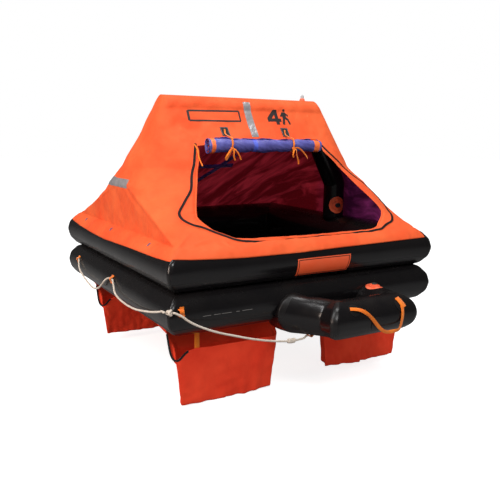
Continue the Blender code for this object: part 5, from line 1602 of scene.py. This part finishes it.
for dx, label in ((-0.090, "inner"), (0.090, "outer")):
    ring = np.array((cx + dx, cy, cz)) + radial * (BOTTLE_R + SLING_T / 2 + 0.0002)
    sling = strap(f"bottle_sling_{label}", ring, 0.038, SLING_T - 0.0004, radial, loop=True)
    dress(sling, black_webbing, "black_webbing", f"cylinder_sling_{label}")
inlet, inlet_out = hull_point("right", cy, INLET_ANGLE)
dress(turned("hose_elbow", ELBOW, inlet, inlet_out, 40), steel, "steel", "hose_inlet")
hose_end = inlet + inlet_out * (0.016 + GAP)
start_x = cx + BOTTLE_HALF + 0.046 + GAP
bends = ((start_x, 0.0), (start_x + 0.010, 0.0), (0.610, -0.003), (0.680, -0.005), (0.730, 0.002),
         (0.762, 0.018))
hose_path = smooth_path([(x, cy, cz + drop) for x, drop in bends] + [
    hose_end + inlet_out * 0.008, hose_end - inlet_out * 0.003], 70)
turn = circle(20)
hose = carry("gas_hose", hose_path, HOSE_D / 2 * xyz(np.cos(turn), np.sin(turn)), (0, 1, 0.01))
dress(hose, hose_black, "hose_rubber", "inflation_hose")
print("hose", round(path_length(hose_path), 3), "m, held at both ends and along the floor")

# %% [markdown]
# Each rope loop is a strip of webbing glued to the tube above and below the rope and pinched
# in over it, so it looks like a bow tie. The strip's distance from the tube is a smooth bump
# that just clears the rope, and its width narrows over the bump.

# %% Rope loops
LOOPS = {"left_back": ("left", 0.640), "left_mid": ("left", -0.030), "front_left": ("front", -0.790),
         "right_back": ("right", 0.640), "right_mid": ("right", -0.030), "right_front": ("right", -0.640),
         "back_right": ("back", 0.640), "back_mid": ("back", -0.030), "back_left": ("back", -0.700)}
LOOP_REACH = 0.024       # half the length of a loop's strip, along the tube's surface
share = np.linspace(-1, 1, 41)
stand = 0.0016 + (LINE_D + 0.0016) * np.exp(-(np.abs(share) / 0.42) ** 3)
across = share * LOOP_REACH
degrees = LOOP_ANGLE + np.degrees(across / TUBE_R)
strips = {label: hull_run(side, [(along, a) for a in degrees], stand)
          for label, (side, along) in LOOPS.items()}
under = ramp_z(RAMP_LOOP_Y) - np.sqrt((RAMP_R + stand) ** 2 - across ** 2)
strips["ramp"] = xyz(leg_x + across, RAMP_LOOP_Y, under), xyz(across / RAMP_R, RAMP_SLOPE, -1.0)
for label, (at, out) in strips.items():
    name = "rope_loop_ramp" if label == "ramp" else f"rope_loop_{label}"
    dress(strap(name, at, 0.036 - 0.014 * np.exp(-(share / 0.5) ** 2), 0.0018, out), orange_webbing,
          "orange_webbing", f"line_loop_{label}")
print("rope loops:", len(strips))

# %% Wrapped rope end
turn = circle(24)
front_x, front_y_at, front_z = np.array([tuple(point) for point in FRONT_POINTS]).T
section = 0.0044 * xyz(np.cos(turn[::2]), np.sin(turn[::2]))
wraps = []
for x in np.arange(5) * 0.0085 - 0.222:
    middle = np.array([x, np.interp(x, front_x, front_y_at), np.interp(x, front_x, front_z)])
    ring = middle + 0.0088 * xyz(0.3 * np.sin(turn), np.cos(turn), np.sin(turn))
    wraps.append(carry("wrap", ring, section, (1, 0, 0), loop=True))
dress(merge("rope_end_wraps", wraps), rope_white, "white_rope")
print("wraps:", len(wraps))

# %% [markdown]
# ## Floor, light and sizes
#
# The raft is shown lifted clear, so the floor lies just under its pockets. A pale floor and a
# white surround with soft lamps give the even, almost shadowless look of a catalogue picture.

# %% Stage
STAGE_HALF, STAGE_BELOW = 30.0, 0.022
stage_x, stage_y = net((-STAGE_HALF, STAGE_HALF, 2), (-STAGE_HALF, STAGE_HALF, 2))
ground = skin("stage_floor", xyz(stage_y, stage_x, POCKET_LOW - STAGE_BELOW))
pale, tree, place, laid = start_finish("stage_pale", Roughness=0.9, Specular_IOR_Level=0.1,
                                       Emission_Color=(1.0, 1.0, 1.0))
seen = node(tree, "ShaderNodeLightPath").outputs["Is Camera Ray"]
feed(tree, Emission_Strength=calc(tree, "MULTIPLY", seen, 0.80),
     Base_Color=blend(tree, seen, (0.28, 0.28, 0.28), (0.60, 0.60, 0.60)))
ground.data.materials.append(pale)

# %% Light
world = bpy.data.worlds.new("studio")
bpy.context.scene.world = world
world.use_nodes = True
tree = world.node_tree
rays = node(tree, "ShaderNodeLightPath").outputs
level = ranged(tree, rays["Is Camera Ray"], to_low=0.62)
background = tree.nodes["Background"].inputs
put(tree, background["Strength"], ranged(tree, rays["Is Glossy Ray"], to_low=level, to_high=0.09))
put(tree, background["Color"], (1.0, 1.0, 1.0))
# place, aim, width, length, power and colour
LAMPS = {"key": ((-1.2, -4.4, 4.4), (0, 0, 0.5), 1.6, 1.6, 138.0, (1.0, 1.0, 1.0)),
         "top": ((0.6, -0.6, 4.4), (0, 0, 0.5), 1.4, 1.4, 72.0, (1.0, 1.0, 1.0)),
         "warm": ((-4.6, -0.6, 1.6), (0, 0, 0.5), 1.2, 1.2, 92.0, (1.0, 0.80, 0.68)),
         "strip": ((-2.5, -0.7, 3.3), (-0.1, -0.9, 0.0), 0.30, 2.40, 60.0, (1.0, 1.0, 1.0))}
for name, (at, aim, width, length, power, colour) in LAMPS.items():
    data = bpy.data.lights.new(name, "AREA")
    data.shape, data.size, data.size_y = "RECTANGLE", width, length
    data.energy, data.color = power, colour
    lamp = bpy.data.objects.new(name, data)
    lamp.location = at
    lamp.rotation_euler = (Vector(aim) - Vector(at)).to_track_quat("-Z", "Y").to_euler()
    bpy.context.scene.collection.objects.link(lamp)
bpy.context.scene.view_settings.view_transform = "Standard"
print("lamps:", list(LAMPS))
